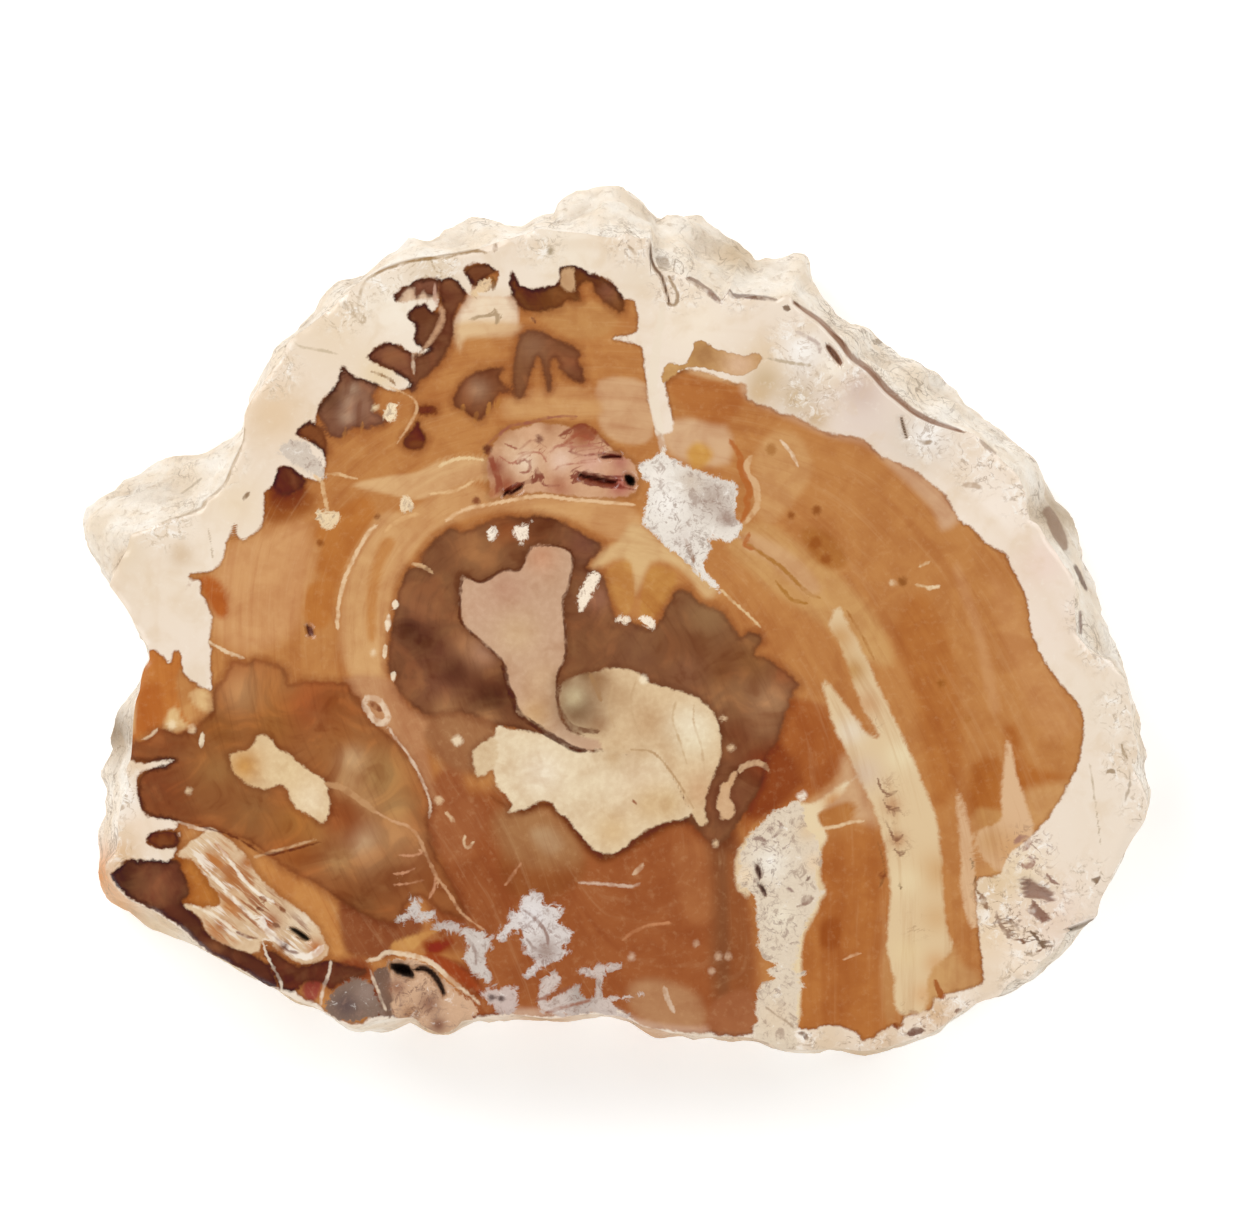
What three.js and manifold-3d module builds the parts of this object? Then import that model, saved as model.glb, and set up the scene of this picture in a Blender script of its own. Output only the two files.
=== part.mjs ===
// Petrified wood slice: one polished cross-section of an agatised log, lying on its sawn back.
// Millimetres. +Z is up, the polished face is on top; +X and +Y run across the face.
// The sides keep the rough outer skin of the log: they slope out from the edge of the polished
// face to the widest outline, then tuck in a little to the sawn back.

import * as THREE from "three";
import Module from "manifold-3d";

// Driving dimensions.
const THICKNESS = 18; // polished face to sawn back
const BASE_TUCK = 1.5; // how far the sawn back's edge lies inside the widest outline
const LEAST_SLOPE = 0.4; // the polished face always ends at least this far inside the outline
const HOLLOW_DEPTH = 1.7; // deepest hollow between the lumps where the skin slopes widely
const STEEP_ROUGHNESS = 0.35; // share of that depth left where the side is near upright
const WIDE_SLOPE = 6; // a slope this wide has hollows of the full depth
const CREST_OUT = 0.3; // the crests stand this far outside the drawn outline
const LEDGE_DEPTH = 0.05; // steps of the skin, as a share of the slope's width

// Fineness of the faceted solid.
const AROUND = 256; // corners around the outline
const DOWN = 15; // rows from the polished face to the back

// The point the outlines are drawn around.
const CENTRE_X = 0;
const CENTRE_Y = -2;

// Widest outline of the slice seen from above, clockwise from the tip of the left wing.
const OUTLINE = [
  [-60.1, 10.5], [-59.9, 12], [-59, 13.2], [-58.2, 14], [-56.6, 14.8], [-55.3, 15.8], [-53.5, 16.1],
  [-51.8, 16.9], [-50.2, 17.8], [-48.5, 18.4], [-46.8, 18.5], [-45.5, 19], [-44, 20], [-42.2, 21],
  [-41.4, 21.4], [-41, 22.6], [-40.6, 24.2], [-40.2, 26], [-39.7, 28], [-38.8, 30], [-37.2, 31.3],
  [-36, 32.2], [-35.1, 33.5], [-33.5, 35], [-32, 36.8], [-30.8, 38], [-29, 38.6], [-27.2, 39.1],
  [-25, 40.7], [-23.6, 42], [-22.8, 43.2], [-20.5, 43.2], [-18.4, 43.9], [-16, 44.3], [-14, 44.6],
  [-12, 44.4], [-10, 44.3], [-8.2, 45.1], [-6.6, 45.3], [-6.2, 46.3], [-5.4, 47.3], [-4, 48.1],
  [-2, 48.8], [0, 48.8], [2, 48.3], [3.4, 47.8], [4, 46.9], [4.8, 46.2], [7, 46], [9.5, 45.8],
  [10.6, 45.1], [11.8, 44.4], [12.8, 43.3], [14, 42.3], [15, 41.4], [16, 41], [18, 41.3],
  [19.4, 41.1], [21.3, 40.8], [21.8, 40], [21.9, 38.5], [22.5, 37.2], [23.6, 35.6], [25, 34.7],
  [26.5, 33.8], [28.2, 32.9], [30, 31.1], [31.2, 30.5], [32.5, 29.9], [33.8, 29], [34.8, 28.1],
  [36, 27.4], [37.6, 26.7], [39.7, 25.3], [40.1, 24.2], [40.6, 23.3], [41.5, 22.5], [42.8, 22],
  [44.6, 21], [46.5, 18.8], [47.8, 17.2], [49, 15.8], [50, 14.3], [51, 12.4], [52.2, 8.8],
  [53.4, 5.4], [54.7, 1.8], [56.1, -1.8], [57.4, -4.8], [57.9, -6], [58.6, -9.6], [59.3, -13],
  [59.9, -14.4], [60.2, -18], [60.3, -19.6], [60, -21.2], [58.2, -24.2], [56.2, -27.9], [55.2, -30],
  [54.4, -32], [54, -33], [53.2, -34.1], [52, -35.6], [51, -36.6], [50, -37.4], [48.9, -38.2],
  [47.8, -39.2], [46.4, -40.2], [45, -41.4], [44.2, -41.9], [43, -42.2], [41.8, -42.5], [40.5, -43],
  [39, -44], [37.8, -44.8], [36.2, -46], [34.6, -47], [33, -47.5], [31.2, -48], [29, -48.6],
  [27.5, -48.8], [26.2, -48.7], [24.9, -48.3], [22, -48.5], [18, -48.3], [16.4, -47.6], [14, -47.5],
  [12, -47.1], [11, -46.9], [9.2, -47.3], [7.5, -46.6], [4.8, -46.6], [3.2, -45.9], [2, -45.2],
  [0, -44.6], [-1.2, -44.3], [-3, -44.4], [-6.6, -44.9], [-9.5, -44.8], [-10.6, -44.5], [-14, -44.9],
  [-15.4, -45], [-17.4, -46.1], [-18.6, -46.7], [-20.8, -46.2], [-22.5, -45.1], [-24.2, -45.9],
  [-27, -46.3], [-30, -45.7], [-32.2, -44.4], [-33, -43.7], [-35.2, -42.8], [-38, -41.2],
  [-40, -40.3], [-42, -39.3], [-44, -38], [-46.6, -36.4], [-50, -35.2], [-52, -34.7], [-54.4, -33],
  [-57, -30.7], [-57.8, -28.4], [-57.5, -26.2], [-58.1, -24], [-57.8, -23], [-57, -22.1],
  [-57.2, -20], [-57, -18.8], [-57.4, -17.6], [-57.2, -16.6], [-56.1, -14.6], [-56.1, -13],
  [-55.8, -11.4], [-55.1, -10], [-54.2, -8.8], [-53.2, -7.6], [-52.4, -5.2], [-51.9, -4.2],
  [-52, -3], [-53, -1.4], [-54, 0.4], [-55, 2.4], [-56.4, 4.2], [-57.8, 6], [-59.2, 8],
];

// Edge of the polished face, clockwise from the lower corner of the left wing.
const FACE_EDGE = [
  [-56, 3.6], [-55, 6], [-54, 8], [-53.6, 9.4], [-51.5, 10.2], [-49.5, 11.1], [-47.5, 11.6],
  [-46, 12.2], [-45.2, 13.4], [-44, 14.1], [-43.2, 15.2], [-42.6, 16.6], [-42, 18], [-41.2, 19.6],
  [-41, 21.2], [-40.8, 23], [-40.2, 24.4], [-39.2, 26], [-38, 27.6], [-36.8, 29], [-36, 31],
  [-34, 32.5], [-31.5, 34.5], [-29, 36.8], [-27, 38.3], [-25.5, 39], [-23.5, 39.7], [-21.5, 40.2],
  [-18, 40.6], [-16, 41], [-14.5, 41.4], [-12.8, 42], [-10, 42.8], [-8.5, 43.4], [-6, 43.2],
  [-3.5, 43], [0, 42.5], [1.5, 42.9], [3, 42.4], [4.2, 42.4], [4.4, 40], [5.2, 38.8], [7, 38.6],
  [8.2, 38], [10, 37], [11.2, 36.3], [12, 35.4], [12.9, 36.6], [13.5, 35.9], [16, 36], [18.2, 35.6],
  [19.5, 36.1], [20.3, 35.2], [21.5, 34.2], [23, 33.2], [24.2, 32.2], [25.4, 31.2], [26, 30],
  [26.8, 28.7], [28.4, 28], [29.4, 27], [30.3, 25.6], [31.6, 24.6], [33, 23.4], [34.5, 22.4],
  [36, 21.7], [38, 21.2], [39.5, 20.9], [40.8, 20.2], [41.6, 19.2], [42.8, 18.2], [43.8, 17.2],
  [45, 16], [45.8, 14.2], [45.9, 12.8], [46.3, 11.2], [47.2, 10.6], [48.2, 9], [49.2, 7.6],
  [50.2, 6], [51, 5], [51.4, 3.4], [51.3, 1.5], [51.5, -1.4], [52.5, -2.8], [53.2, -3.6],
  [54.4, -4.2], [55.3, -4.4], [55.8, -5.4], [56.8, -6.6], [57.2, -8], [57.6, -10], [57.7, -12],
  [58.2, -13.6], [58.2, -15.4], [57.8, -16.4], [58.6, -18], [59.4, -20.8], [59.2, -22], [57.6, -24.6],
  [55.6, -28.2], [54.6, -30.2], [53.8, -32], [53.6, -33.1], [51, -34.4], [50.2, -35], [49.8, -35.9],
  [48.6, -37.2], [47.5, -38], [46.6, -39.4], [46.2, -39.9], [44.8, -39.9], [43.8, -40.6],
  [43, -41.6], [41.5, -42.2], [40, -42.8], [38.6, -43.6], [36.5, -45.2], [35, -46.1], [32.6, -46.8],
  [31, -47.3], [28, -47.9], [25, -47.6], [22, -47.8], [18.4, -47.5], [16.8, -46.8], [15, -46.4],
  [12.2, -46.3], [9.5, -46.3], [8, -46], [6.5, -45.9], [5, -45.5], [3.4, -45.2], [2, -44.5],
  [0.5, -44], [-2, -43.8], [-4, -43.9], [-7, -44.3], [-9, -44.1], [-11, -43.9], [-14.5, -44.4],
  [-16.8, -44.6], [-17.6, -45.5], [-19.5, -45.9], [-21, -45.2], [-22, -44.3], [-24, -44.3],
  [-26.5, -44.6], [-28, -45.2], [-30, -44.8], [-31.6, -43.9], [-33, -43.1], [-34.5, -42.6],
  [-37.3, -41.1], [-38.5, -40.6], [-40, -39.6], [-42, -38.5], [-44, -37.4], [-45.2, -36.9],
  [-46, -36.1], [-48, -34.4], [-49.4, -33.4], [-51, -32.4], [-52.4, -31.7], [-53.6, -31.2],
  [-55, -30], [-56.2, -28.6], [-56.4, -27.2], [-55.4, -26], [-55, -24.5], [-55, -22.5],
  [-54.5, -20], [-53.8, -18.2], [-54.1, -16.8], [-53.6, -15.4], [-53.4, -13], [-53.3, -11],
  [-53, -9], [-52.6, -7.8], [-52.4, -6.4], [-52.1, -5.4], [-51.5, -4.3], [-51.6, -3.2],
  [-52.6, -1.4], [-53.6, 0.4], [-54.6, 2],
];

// Open pits in the polished face: outline and depth.
const PITS = [
  // round hole at the right end of the pink band
  { depth: 2.6, outline: [[1.2, 16.3], [2.1, 16.2], [2.6, 15.6], [2.5, 14.9], [1.9, 14.8], [1.3, 15.3]] },
  // deep pocket near the lower edge
  {
    depth: 3.2,
    outline: [
      [-25.1, -38.3], [-24, -38], [-22.8, -38.2], [-22.2, -38.9], [-21.9, -39.9], [-23.2, -39.8],
      [-24.3, -39.3],
    ],
  },
  // long hole in the pale fibrous wedge, lower left
  {
    depth: 2,
    outline: [
      [-36.2, -33.8], [-35.2, -34.2], [-34, -34.9], [-33.6, -35.6], [-34.3, -35.8], [-35.3, -35.1],
    ],
  },
  // dark red hole in the left half
  { depth: 1.3, outline: [[-34.2, -0.5], [-33.6, -0.5], [-33.2, -1.3], [-33.3, -2], [-33.9, -1.8]] },
  // weathered hollow, lower right
  {
    depth: 0.9,
    outline: [
      [45.4, -28.5], [46.6, -28.8], [47.5, -29.4], [48.9, -30.1], [49.1, -31.2], [48.5, -31.6],
      [47.6, -31], [46.5, -31.1], [45.5, -30.8],
    ],
  },
  // broken-out corner of the right-hand side
  { depth: 8, outline: [[47.9, 12.4], [49.1, 12.9], [50.8, 10.6], [51.4, 8], [50.4, 7.3], [48.9, 9.4]] },
];

// Open cracks in the face and the shoulder below it: path, width and depth.
const CRACKS = [
  // long crack between the face and the outer skin, upper right
  {
    width: 1.1,
    depth: 2.6,
    path: [
      [20, 35.4], [21.5, 34.3], [23, 33.3], [24.2, 32.1], [25.4, 30.8], [26.5, 29.3], [28.4, 27.9],
      [30.4, 25.7], [31.8, 24.5], [33.4, 23.2], [35.2, 22.2], [37.2, 21.5], [39, 20.9],
    ],
  },
  { width: 0.8, depth: 1.2, path: [[23.8, 30.5], [24.6, 29.5], [25.4, 28.4]] },
  { width: 0.5, depth: 0.9, path: [[32, 22.6], [32.3, 21.4], [32.7, 20.1]] },
  // crack running up through the top edge
  { width: 0.6, depth: 1.8, path: [[4.5, 44.6], [4.3, 42.4], [4.4, 40.2], [5.2, 38.6], [5.9, 36.6], [6.4, 34.8]] },
  // slits along the pink band
  { width: 0.6, depth: 1.1, path: [[-12.3, 14], [-11.2, 14.3], [-10, 14.8]] },
  { width: 0.8, depth: 1.2, path: [[-3.8, 16.1], [-2.4, 15.8], [-1, 15.5], [0.4, 15.2]] },
  { width: 0.6, depth: 1, path: [[-1.4, 18], [-0.2, 18.2], [1, 18.2]] },
  // crooked channel running out of the deep pocket
  {
    width: 0.7,
    depth: 1.6,
    path: [[-22, -38.9], [-21.2, -38.7], [-20.3, -39.1], [-19.6, -39.9], [-19.1, -40.8], [-18.7, -41.8]],
  },
  // slits in the white column, lower middle
  { width: 0.6, depth: 0.8, path: [[15.9, -27.2], [16.2, -27.9], [16.4, -28.7]] },
  { width: 0.5, depth: 0.8, path: [[16.4, -29.4], [16.7, -30], [17.1, -30.6]] },
  // slit below the lower right corner of the face
  { width: 0.8, depth: 2, path: [[50.8, -34.5], [52.2, -34], [53.8, -33.3]] },
];

// Skin tone of the slice as a whole; the markings are colour only and have no shape.
const STONE = { color: "#b87f4f", roughness: 0.3, metalness: 0 };

/** Outline points as angle and radius around the centre, sorted by angle, with a slope at each. */
function polarOutline(points) {
  const nodes = points.map(([x, y]) => ({
    angle: Math.atan2(y - CENTRE_Y, x - CENTRE_X),
    radius: Math.hypot(x - CENTRE_X, y - CENTRE_Y),
  }));
  nodes.sort((a, b) => a.angle - b.angle);
  const first = nodes[0];
  const last = nodes[nodes.length - 1];
  const ring = [
    { angle: last.angle - 2 * Math.PI, radius: last.radius },
    ...nodes,
    { angle: first.angle + 2 * Math.PI, radius: first.radius },
  ];
  const rise = (i) => (ring[i + 1].radius - ring[i].radius) / (ring[i + 1].angle - ring[i].angle);
  for (let i = 0; i < ring.length; i += 1) {
    const before = i > 0 ? rise(i - 1) : 0;
    const after = i < ring.length - 1 ? rise(i) : 0;
    ring[i].slope = before * after > 0 ? (2 * before * after) / (before + after) : 0;
  }
  return ring;
}

/** Radius of an outline at an angle: a cubic between neighbouring points that never overshoots. */
function radiusAt(ring, angle) {
  let i = 0;
  while (i < ring.length - 2 && ring[i + 1].angle <= angle) {
    i += 1;
  }
  const a = ring[i];
  const b = ring[i + 1];
  const span = b.angle - a.angle;
  const s = (angle - a.angle) / span;
  const rest = 1 - s;
  return (
    a.radius * rest * rest * (1 + 2 * s) +
    b.radius * s * s * (1 + 2 * rest) +
    span * s * rest * (a.slope * rest - b.slope * s)
  );
}

/** Hollows of the rough skin, 0 to 1 deep; t runs from 0 at the face to 1 at the back. */
function hollow(angle, t) {
  const lumps = Math.sin(17 * angle + 2.6 * t + 3.1) * Math.cos(6.3 * t + 2 * Math.sin(5 * angle));
  const ridges = Math.sin(37 * angle + 1.2 * Math.sin(4 * t + 7 * angle));
  const wave = 0.5 - 0.25 * (lumps + ridges);
  return wave * Math.sqrt(Math.sin(Math.PI * t));
}

/** How far out the side has come at depth share t, from 0 at the face edge to 1 at its widest. */
function slopeShare(angle, t) {
  const widestAt = 0.64 + 0.1 * Math.sin(5 * angle + 1) + 0.05 * Math.sin(11 * angle);
  const ledges = LEDGE_DEPTH * Math.sin(Math.PI * t) * Math.sin(19 * t + 2 * Math.sin(3 * angle));
  const rising = Math.sin((Math.PI / 2) * Math.min(1, t / widestAt));
  return Math.min(1, rising + ledges);
}

/** Closed solid from a row of rings with the same number of corners; both ends are filled. */
function solidFromRings(wasm, rings) {
  const count = rings[0].length;
  const corners = rings.flat(2);
  const faces = [];
  for (let row = 0; row < rings.length - 1; row += 1) {
    for (let i = 0; i < count; i += 1) {
      const next = (i + 1) % count;
      const upper = row * count;
      const lower = upper + count;
      faces.push(upper + i, lower + i, lower + next);
      faces.push(upper + i, lower + next, upper + next);
    }
  }
  const ends = [rings[0], rings[rings.length - 1]];
  ends.forEach((ring, which) => {
    const middle = corners.length / 3;
    for (let axis = 0; axis < 3; axis += 1) {
      corners.push(ring.reduce((sum, corner) => sum + corner[axis], 0) / count);
    }
    const start = which === 0 ? 0 : (rings.length - 1) * count;
    for (let i = 0; i < count; i += 1) {
      const next = (i + 1) % count;
      faces.push(middle, start + (which === 0 ? i : next), start + (which === 0 ? next : i));
    }
  });
  const mesh = new wasm.Mesh({
    numProp: 3,
    vertProperties: new Float32Array(corners),
    triVerts: new Uint32Array(faces),
  });
  return new wasm.Manifold(mesh);
}

/** The slice before its pits are cut: rings from the polished face down to the sawn back. */
function sliceRings() {
  const outline = polarOutline(OUTLINE);
  const faceEdge = polarOutline(FACE_EDGE);
  const rings = [];
  for (let row = 0; row <= DOWN; row += 1) {
    const t = row / DOWN;
    const ring = [];
    for (let i = 0; i < AROUND; i += 1) {
      const angle = -Math.PI + (2 * Math.PI * (i + 0.5)) / AROUND;
      const widest = radiusAt(outline, angle) + CREST_OUT;
      const face = Math.min(radiusAt(faceEdge, angle), widest - LEAST_SLOPE);
      const openness = Math.min(1, (widest - face) / WIDE_SLOPE);
      const depth = HOLLOW_DEPTH * (STEEP_ROUGHNESS + (1 - STEEP_ROUGHNESS) * openness);
      const tuck = BASE_TUCK * Math.max(0, (t - 0.75) / 0.25) ** 2;
      const slope = (widest - face) * slopeShare(angle, t);
      const radius = face + slope - depth * hollow(angle, t) - tuck;
      ring.push([
        CENTRE_X + radius * Math.cos(angle),
        CENTRE_Y + radius * Math.sin(angle),
        THICKNESS * (1 - t),
      ]);
    }
    rings.push(ring);
  }
  return rings;
}

/** A pit: its outline just above the face, narrowing to a smaller floor below. */
function pitRings({ outline, depth }) {
  const middleX = outline.reduce((sum, [x]) => sum + x, 0) / outline.length;
  const middleY = outline.reduce((sum, [, y]) => sum + y, 0) / outline.length;
  const level = (size, z) =>
    outline
      .map(([x, y]) => [middleX + (x - middleX) * size, middleY + (y - middleY) * size, z])
      .reverse();
  return [level(1.1, THICKNESS + 0.5), level(0.55, THICKNESS - depth)];
}

/** A crack: a wedge section carried along the path, narrow at both ends. */
function crackRings({ path, width, depth }) {
  return path.map(([x, y], i) => {
    const [fromX, fromY] = path[Math.max(0, i - 1)];
    const [toX, toY] = path[Math.min(path.length - 1, i + 1)];
    const length = Math.hypot(toX - fromX, toY - fromY);
    const rightX = (toY - fromY) / length;
    const rightY = -(toX - fromX) / length;
    const along = i / (path.length - 1);
    const half = (width / 2) * (0.35 + 0.65 * Math.sin(Math.PI * along));
    const top = THICKNESS + 0.5;
    const floor = THICKNESS - depth * (0.5 + 0.5 * Math.sin(Math.PI * along));
    return [
      [x - rightX * half * 1.15, y - rightY * half * 1.15, top],
      [x - rightX * half * 0.35, y - rightY * half * 0.35, floor],
      [x + rightX * half * 0.35, y + rightY * half * 0.35, floor],
      [x + rightX * half * 1.15, y + rightY * half * 1.15, top],
    ];
  });
}

const wasm = await Module();
wasm.setup();

let slice = solidFromRings(wasm, sliceRings());
for (const pit of PITS) {
  slice = slice.subtract(solidFromRings(wasm, pitRings(pit)));
}
for (const crack of CRACKS) {
  slice = slice.subtract(solidFromRings(wasm, crackRings(crack)));
}

const solid = slice.getMesh();
const indexed = new THREE.BufferGeometry();
indexed.setAttribute("position", new THREE.BufferAttribute(new Float32Array(solid.vertProperties), 3));
indexed.setIndex(new THREE.BufferAttribute(new Uint32Array(solid.triVerts), 1));
const geometry = indexed.toNonIndexed();
geometry.computeVertexNormals();

// The middle of the footprint is the origin.
geometry.computeBoundingBox();
const { min, max } = geometry.boundingBox;
geometry.translate(-(min.x + max.x) / 2, -(min.y + max.y) / 2, -min.z);

const stone = new THREE.Mesh(geometry, new THREE.MeshStandardMaterial(STONE));
stone.name = "petrified_wood_slice";

const part = new THREE.Group();
part.name = "petrified_wood_slice_part";
part.add(stone);

export default part;
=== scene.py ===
import math

import bpy
import numpy as np
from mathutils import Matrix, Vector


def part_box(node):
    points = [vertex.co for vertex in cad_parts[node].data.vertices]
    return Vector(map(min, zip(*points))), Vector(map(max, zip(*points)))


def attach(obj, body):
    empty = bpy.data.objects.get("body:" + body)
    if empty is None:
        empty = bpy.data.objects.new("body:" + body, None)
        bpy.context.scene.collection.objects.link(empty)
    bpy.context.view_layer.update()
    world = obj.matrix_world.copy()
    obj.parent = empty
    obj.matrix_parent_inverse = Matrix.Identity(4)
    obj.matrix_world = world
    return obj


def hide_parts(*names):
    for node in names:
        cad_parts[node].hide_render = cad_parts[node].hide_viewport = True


# Petrified wood slice: a polished cross-section of an agatised log lying on its sawn back.
# Places are in millimetres in the plane of the polished face, x to the right and y up, and
# MM turns them into Blender's metres.

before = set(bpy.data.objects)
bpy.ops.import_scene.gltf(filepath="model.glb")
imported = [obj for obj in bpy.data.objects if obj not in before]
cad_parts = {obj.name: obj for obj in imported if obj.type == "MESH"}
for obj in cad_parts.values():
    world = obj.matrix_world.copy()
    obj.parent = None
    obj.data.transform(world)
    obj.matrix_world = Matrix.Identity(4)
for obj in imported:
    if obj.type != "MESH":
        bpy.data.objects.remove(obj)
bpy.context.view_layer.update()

NODE = "petrified_wood_slice"
MM = 0.001

# The slice's own dimensions, as in the part's source.
THICKNESS = 18.0
BASE_TUCK = 1.5  # how far the sawn back's edge lies inside the widest outline
TUCK_FROM = 0.75  # share of the way down from which the side tucks in
LEAST_SLOPE = 0.4  # the polished face always ends at least this far inside the outline
HOLLOW_DEPTH = 1.7  # deepest hollow between the lumps of the skin
STEEP_ROUGHNESS = 0.35  # share of that depth left where the side is near upright
WIDE_SLOPE = 6.0  # a slope this wide has hollows of the full depth
CREST_OUT = 0.3  # the crests stand this far outside the drawn outline
LEDGE_DEPTH = 0.05  # steps of the skin, as a share of the slope's width
CENTRE = np.array([0.0, -2.0])  # the outlines are drawn around this point
PART_AROUND = 256  # corners around the part's solid
PART_DOWN = 15  # rows down the part's side

# Roughness of the side's skin.
SKIN_GRAIN = ((0.5, 4.2, 3), (0.45, 1.9, 4), (0.3, 1.0, 5))  # height and lump size in mm, and seed
ROUGH_SLOPE = 5.0  # a slope this wide has grain of the full height
STEEP_GRAIN = 0.45  # share of that height left where the side is upright
SHARP_DEGREES = 48  # edges that turn more than this stay sharp

# Fineness of the surface and of the markings' outlines.
FACE_GRID = 273  # points along each edge of the square that is bent into the polished face
BACK_GRID = 69  # the same for the sawn back
AROUND = 2 * (FACE_GRID - 1)  # columns around the side
DOWN = 29  # rows down the side
ROW_CROWDING = 1.15  # above 1, the rows stand closer towards the face
REACH = 2.0  # distances from a marking are measured no further than this
TINY = 1e-6  # keeps a division away from nothing

# What the markings share.
THIN_END = 0.45  # width of a line's ends, as a share of its middle's
FROST_DEPTH = 0.75  # the frost is this much less deep, so that the same noise frays it further
QUARTZ_IOR = 1.54

# Widest outline of the slice seen from above.
OUTLINE = [
    (-60.1, 10.5), (-59.9, 12), (-59, 13.2), (-58.2, 14), (-56.6, 14.8), (-55.3, 15.8), (-53.5, 16.1),
    (-51.8, 16.9), (-50.2, 17.8), (-48.5, 18.4), (-46.8, 18.5), (-45.5, 19), (-44, 20), (-42.2, 21),
    (-41.4, 21.4), (-41, 22.6), (-40.6, 24.2), (-40.2, 26), (-39.7, 28), (-38.8, 30), (-37.2, 31.3),
    (-36, 32.2), (-35.1, 33.5), (-33.5, 35), (-32, 36.8), (-30.8, 38), (-29, 38.6), (-27.2, 39.1),
    (-25, 40.7), (-23.6, 42), (-22.8, 43.2), (-20.5, 43.2), (-18.4, 43.9), (-16, 44.3), (-14, 44.6),
    (-12, 44.4), (-10, 44.3), (-8.2, 45.1), (-6.6, 45.3), (-6.2, 46.3), (-5.4, 47.3), (-4, 48.1), (-2, 48.8),
    (0, 48.8), (2, 48.3), (3.4, 47.8), (4, 46.9), (4.8, 46.2), (7, 46), (9.5, 45.8), (10.6, 45.1),
    (11.8, 44.4), (12.8, 43.3), (14, 42.3), (15, 41.4), (16, 41), (18, 41.3), (19.4, 41.1), (21.3, 40.8),
    (21.8, 40), (21.9, 38.5), (22.5, 37.2), (23.6, 35.6), (25, 34.7), (26.5, 33.8), (28.2, 32.9), (30, 31.1),
    (31.2, 30.5), (32.5, 29.9), (33.8, 29), (34.8, 28.1), (36, 27.4), (37.6, 26.7), (39.7, 25.3),
    (40.1, 24.2), (40.6, 23.3), (41.5, 22.5), (42.8, 22), (44.6, 21), (46.5, 18.8), (47.8, 17.2), (49, 15.8),
    (50, 14.3), (51, 12.4), (52.2, 8.8), (53.4, 5.4), (54.7, 1.8), (56.1, -1.8), (57.4, -4.8), (57.9, -6),
    (58.6, -9.6), (59.3, -13), (59.9, -14.4), (60.2, -18), (60.3, -19.6), (60, -21.2), (58.2, -24.2),
    (56.2, -27.9), (55.2, -30), (54.4, -32), (54, -33), (53.2, -34.1), (52, -35.6), (51, -36.6), (50, -37.4),
    (48.9, -38.2), (47.8, -39.2), (46.4, -40.2), (45, -41.4), (44.2, -41.9), (43, -42.2), (41.8, -42.5),
    (40.5, -43), (39, -44), (37.8, -44.8), (36.2, -46), (34.6, -47), (33, -47.5), (31.2, -48), (29, -48.6),
    (27.5, -48.8), (26.2, -48.7), (24.9, -48.3), (22, -48.5), (18, -48.3), (16.4, -47.6), (14, -47.5),
    (12, -47.1), (11, -46.9), (9.2, -47.3), (7.5, -46.6), (4.8, -46.6), (3.2, -45.9), (2, -45.2), (0, -44.6),
    (-1.2, -44.3), (-3, -44.4), (-6.6, -44.9), (-9.5, -44.8), (-10.6, -44.5), (-14, -44.9), (-15.4, -45),
    (-17.4, -46.1), (-18.6, -46.7), (-20.8, -46.2), (-22.5, -45.1), (-24.2, -45.9), (-27, -46.3),
    (-30, -45.7), (-32.2, -44.4), (-33, -43.7), (-35.2, -42.8), (-38, -41.2), (-40, -40.3), (-42, -39.3),
    (-44, -38), (-46.6, -36.4), (-50, -35.2), (-52, -34.7), (-54.4, -33), (-57, -30.7), (-57.8, -28.4),
    (-57.5, -26.2), (-58.1, -24), (-57.8, -23), (-57, -22.1), (-57.2, -20), (-57, -18.8), (-57.4, -17.6),
    (-57.2, -16.6), (-56.1, -14.6), (-56.1, -13), (-55.8, -11.4), (-55.1, -10), (-54.2, -8.8), (-53.2, -7.6),
    (-52.4, -5.2), (-51.9, -4.2), (-52, -3), (-53, -1.4), (-54, 0.4), (-55, 2.4), (-56.4, 4.2), (-57.8, 6),
    (-59.2, 8),
]

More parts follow.
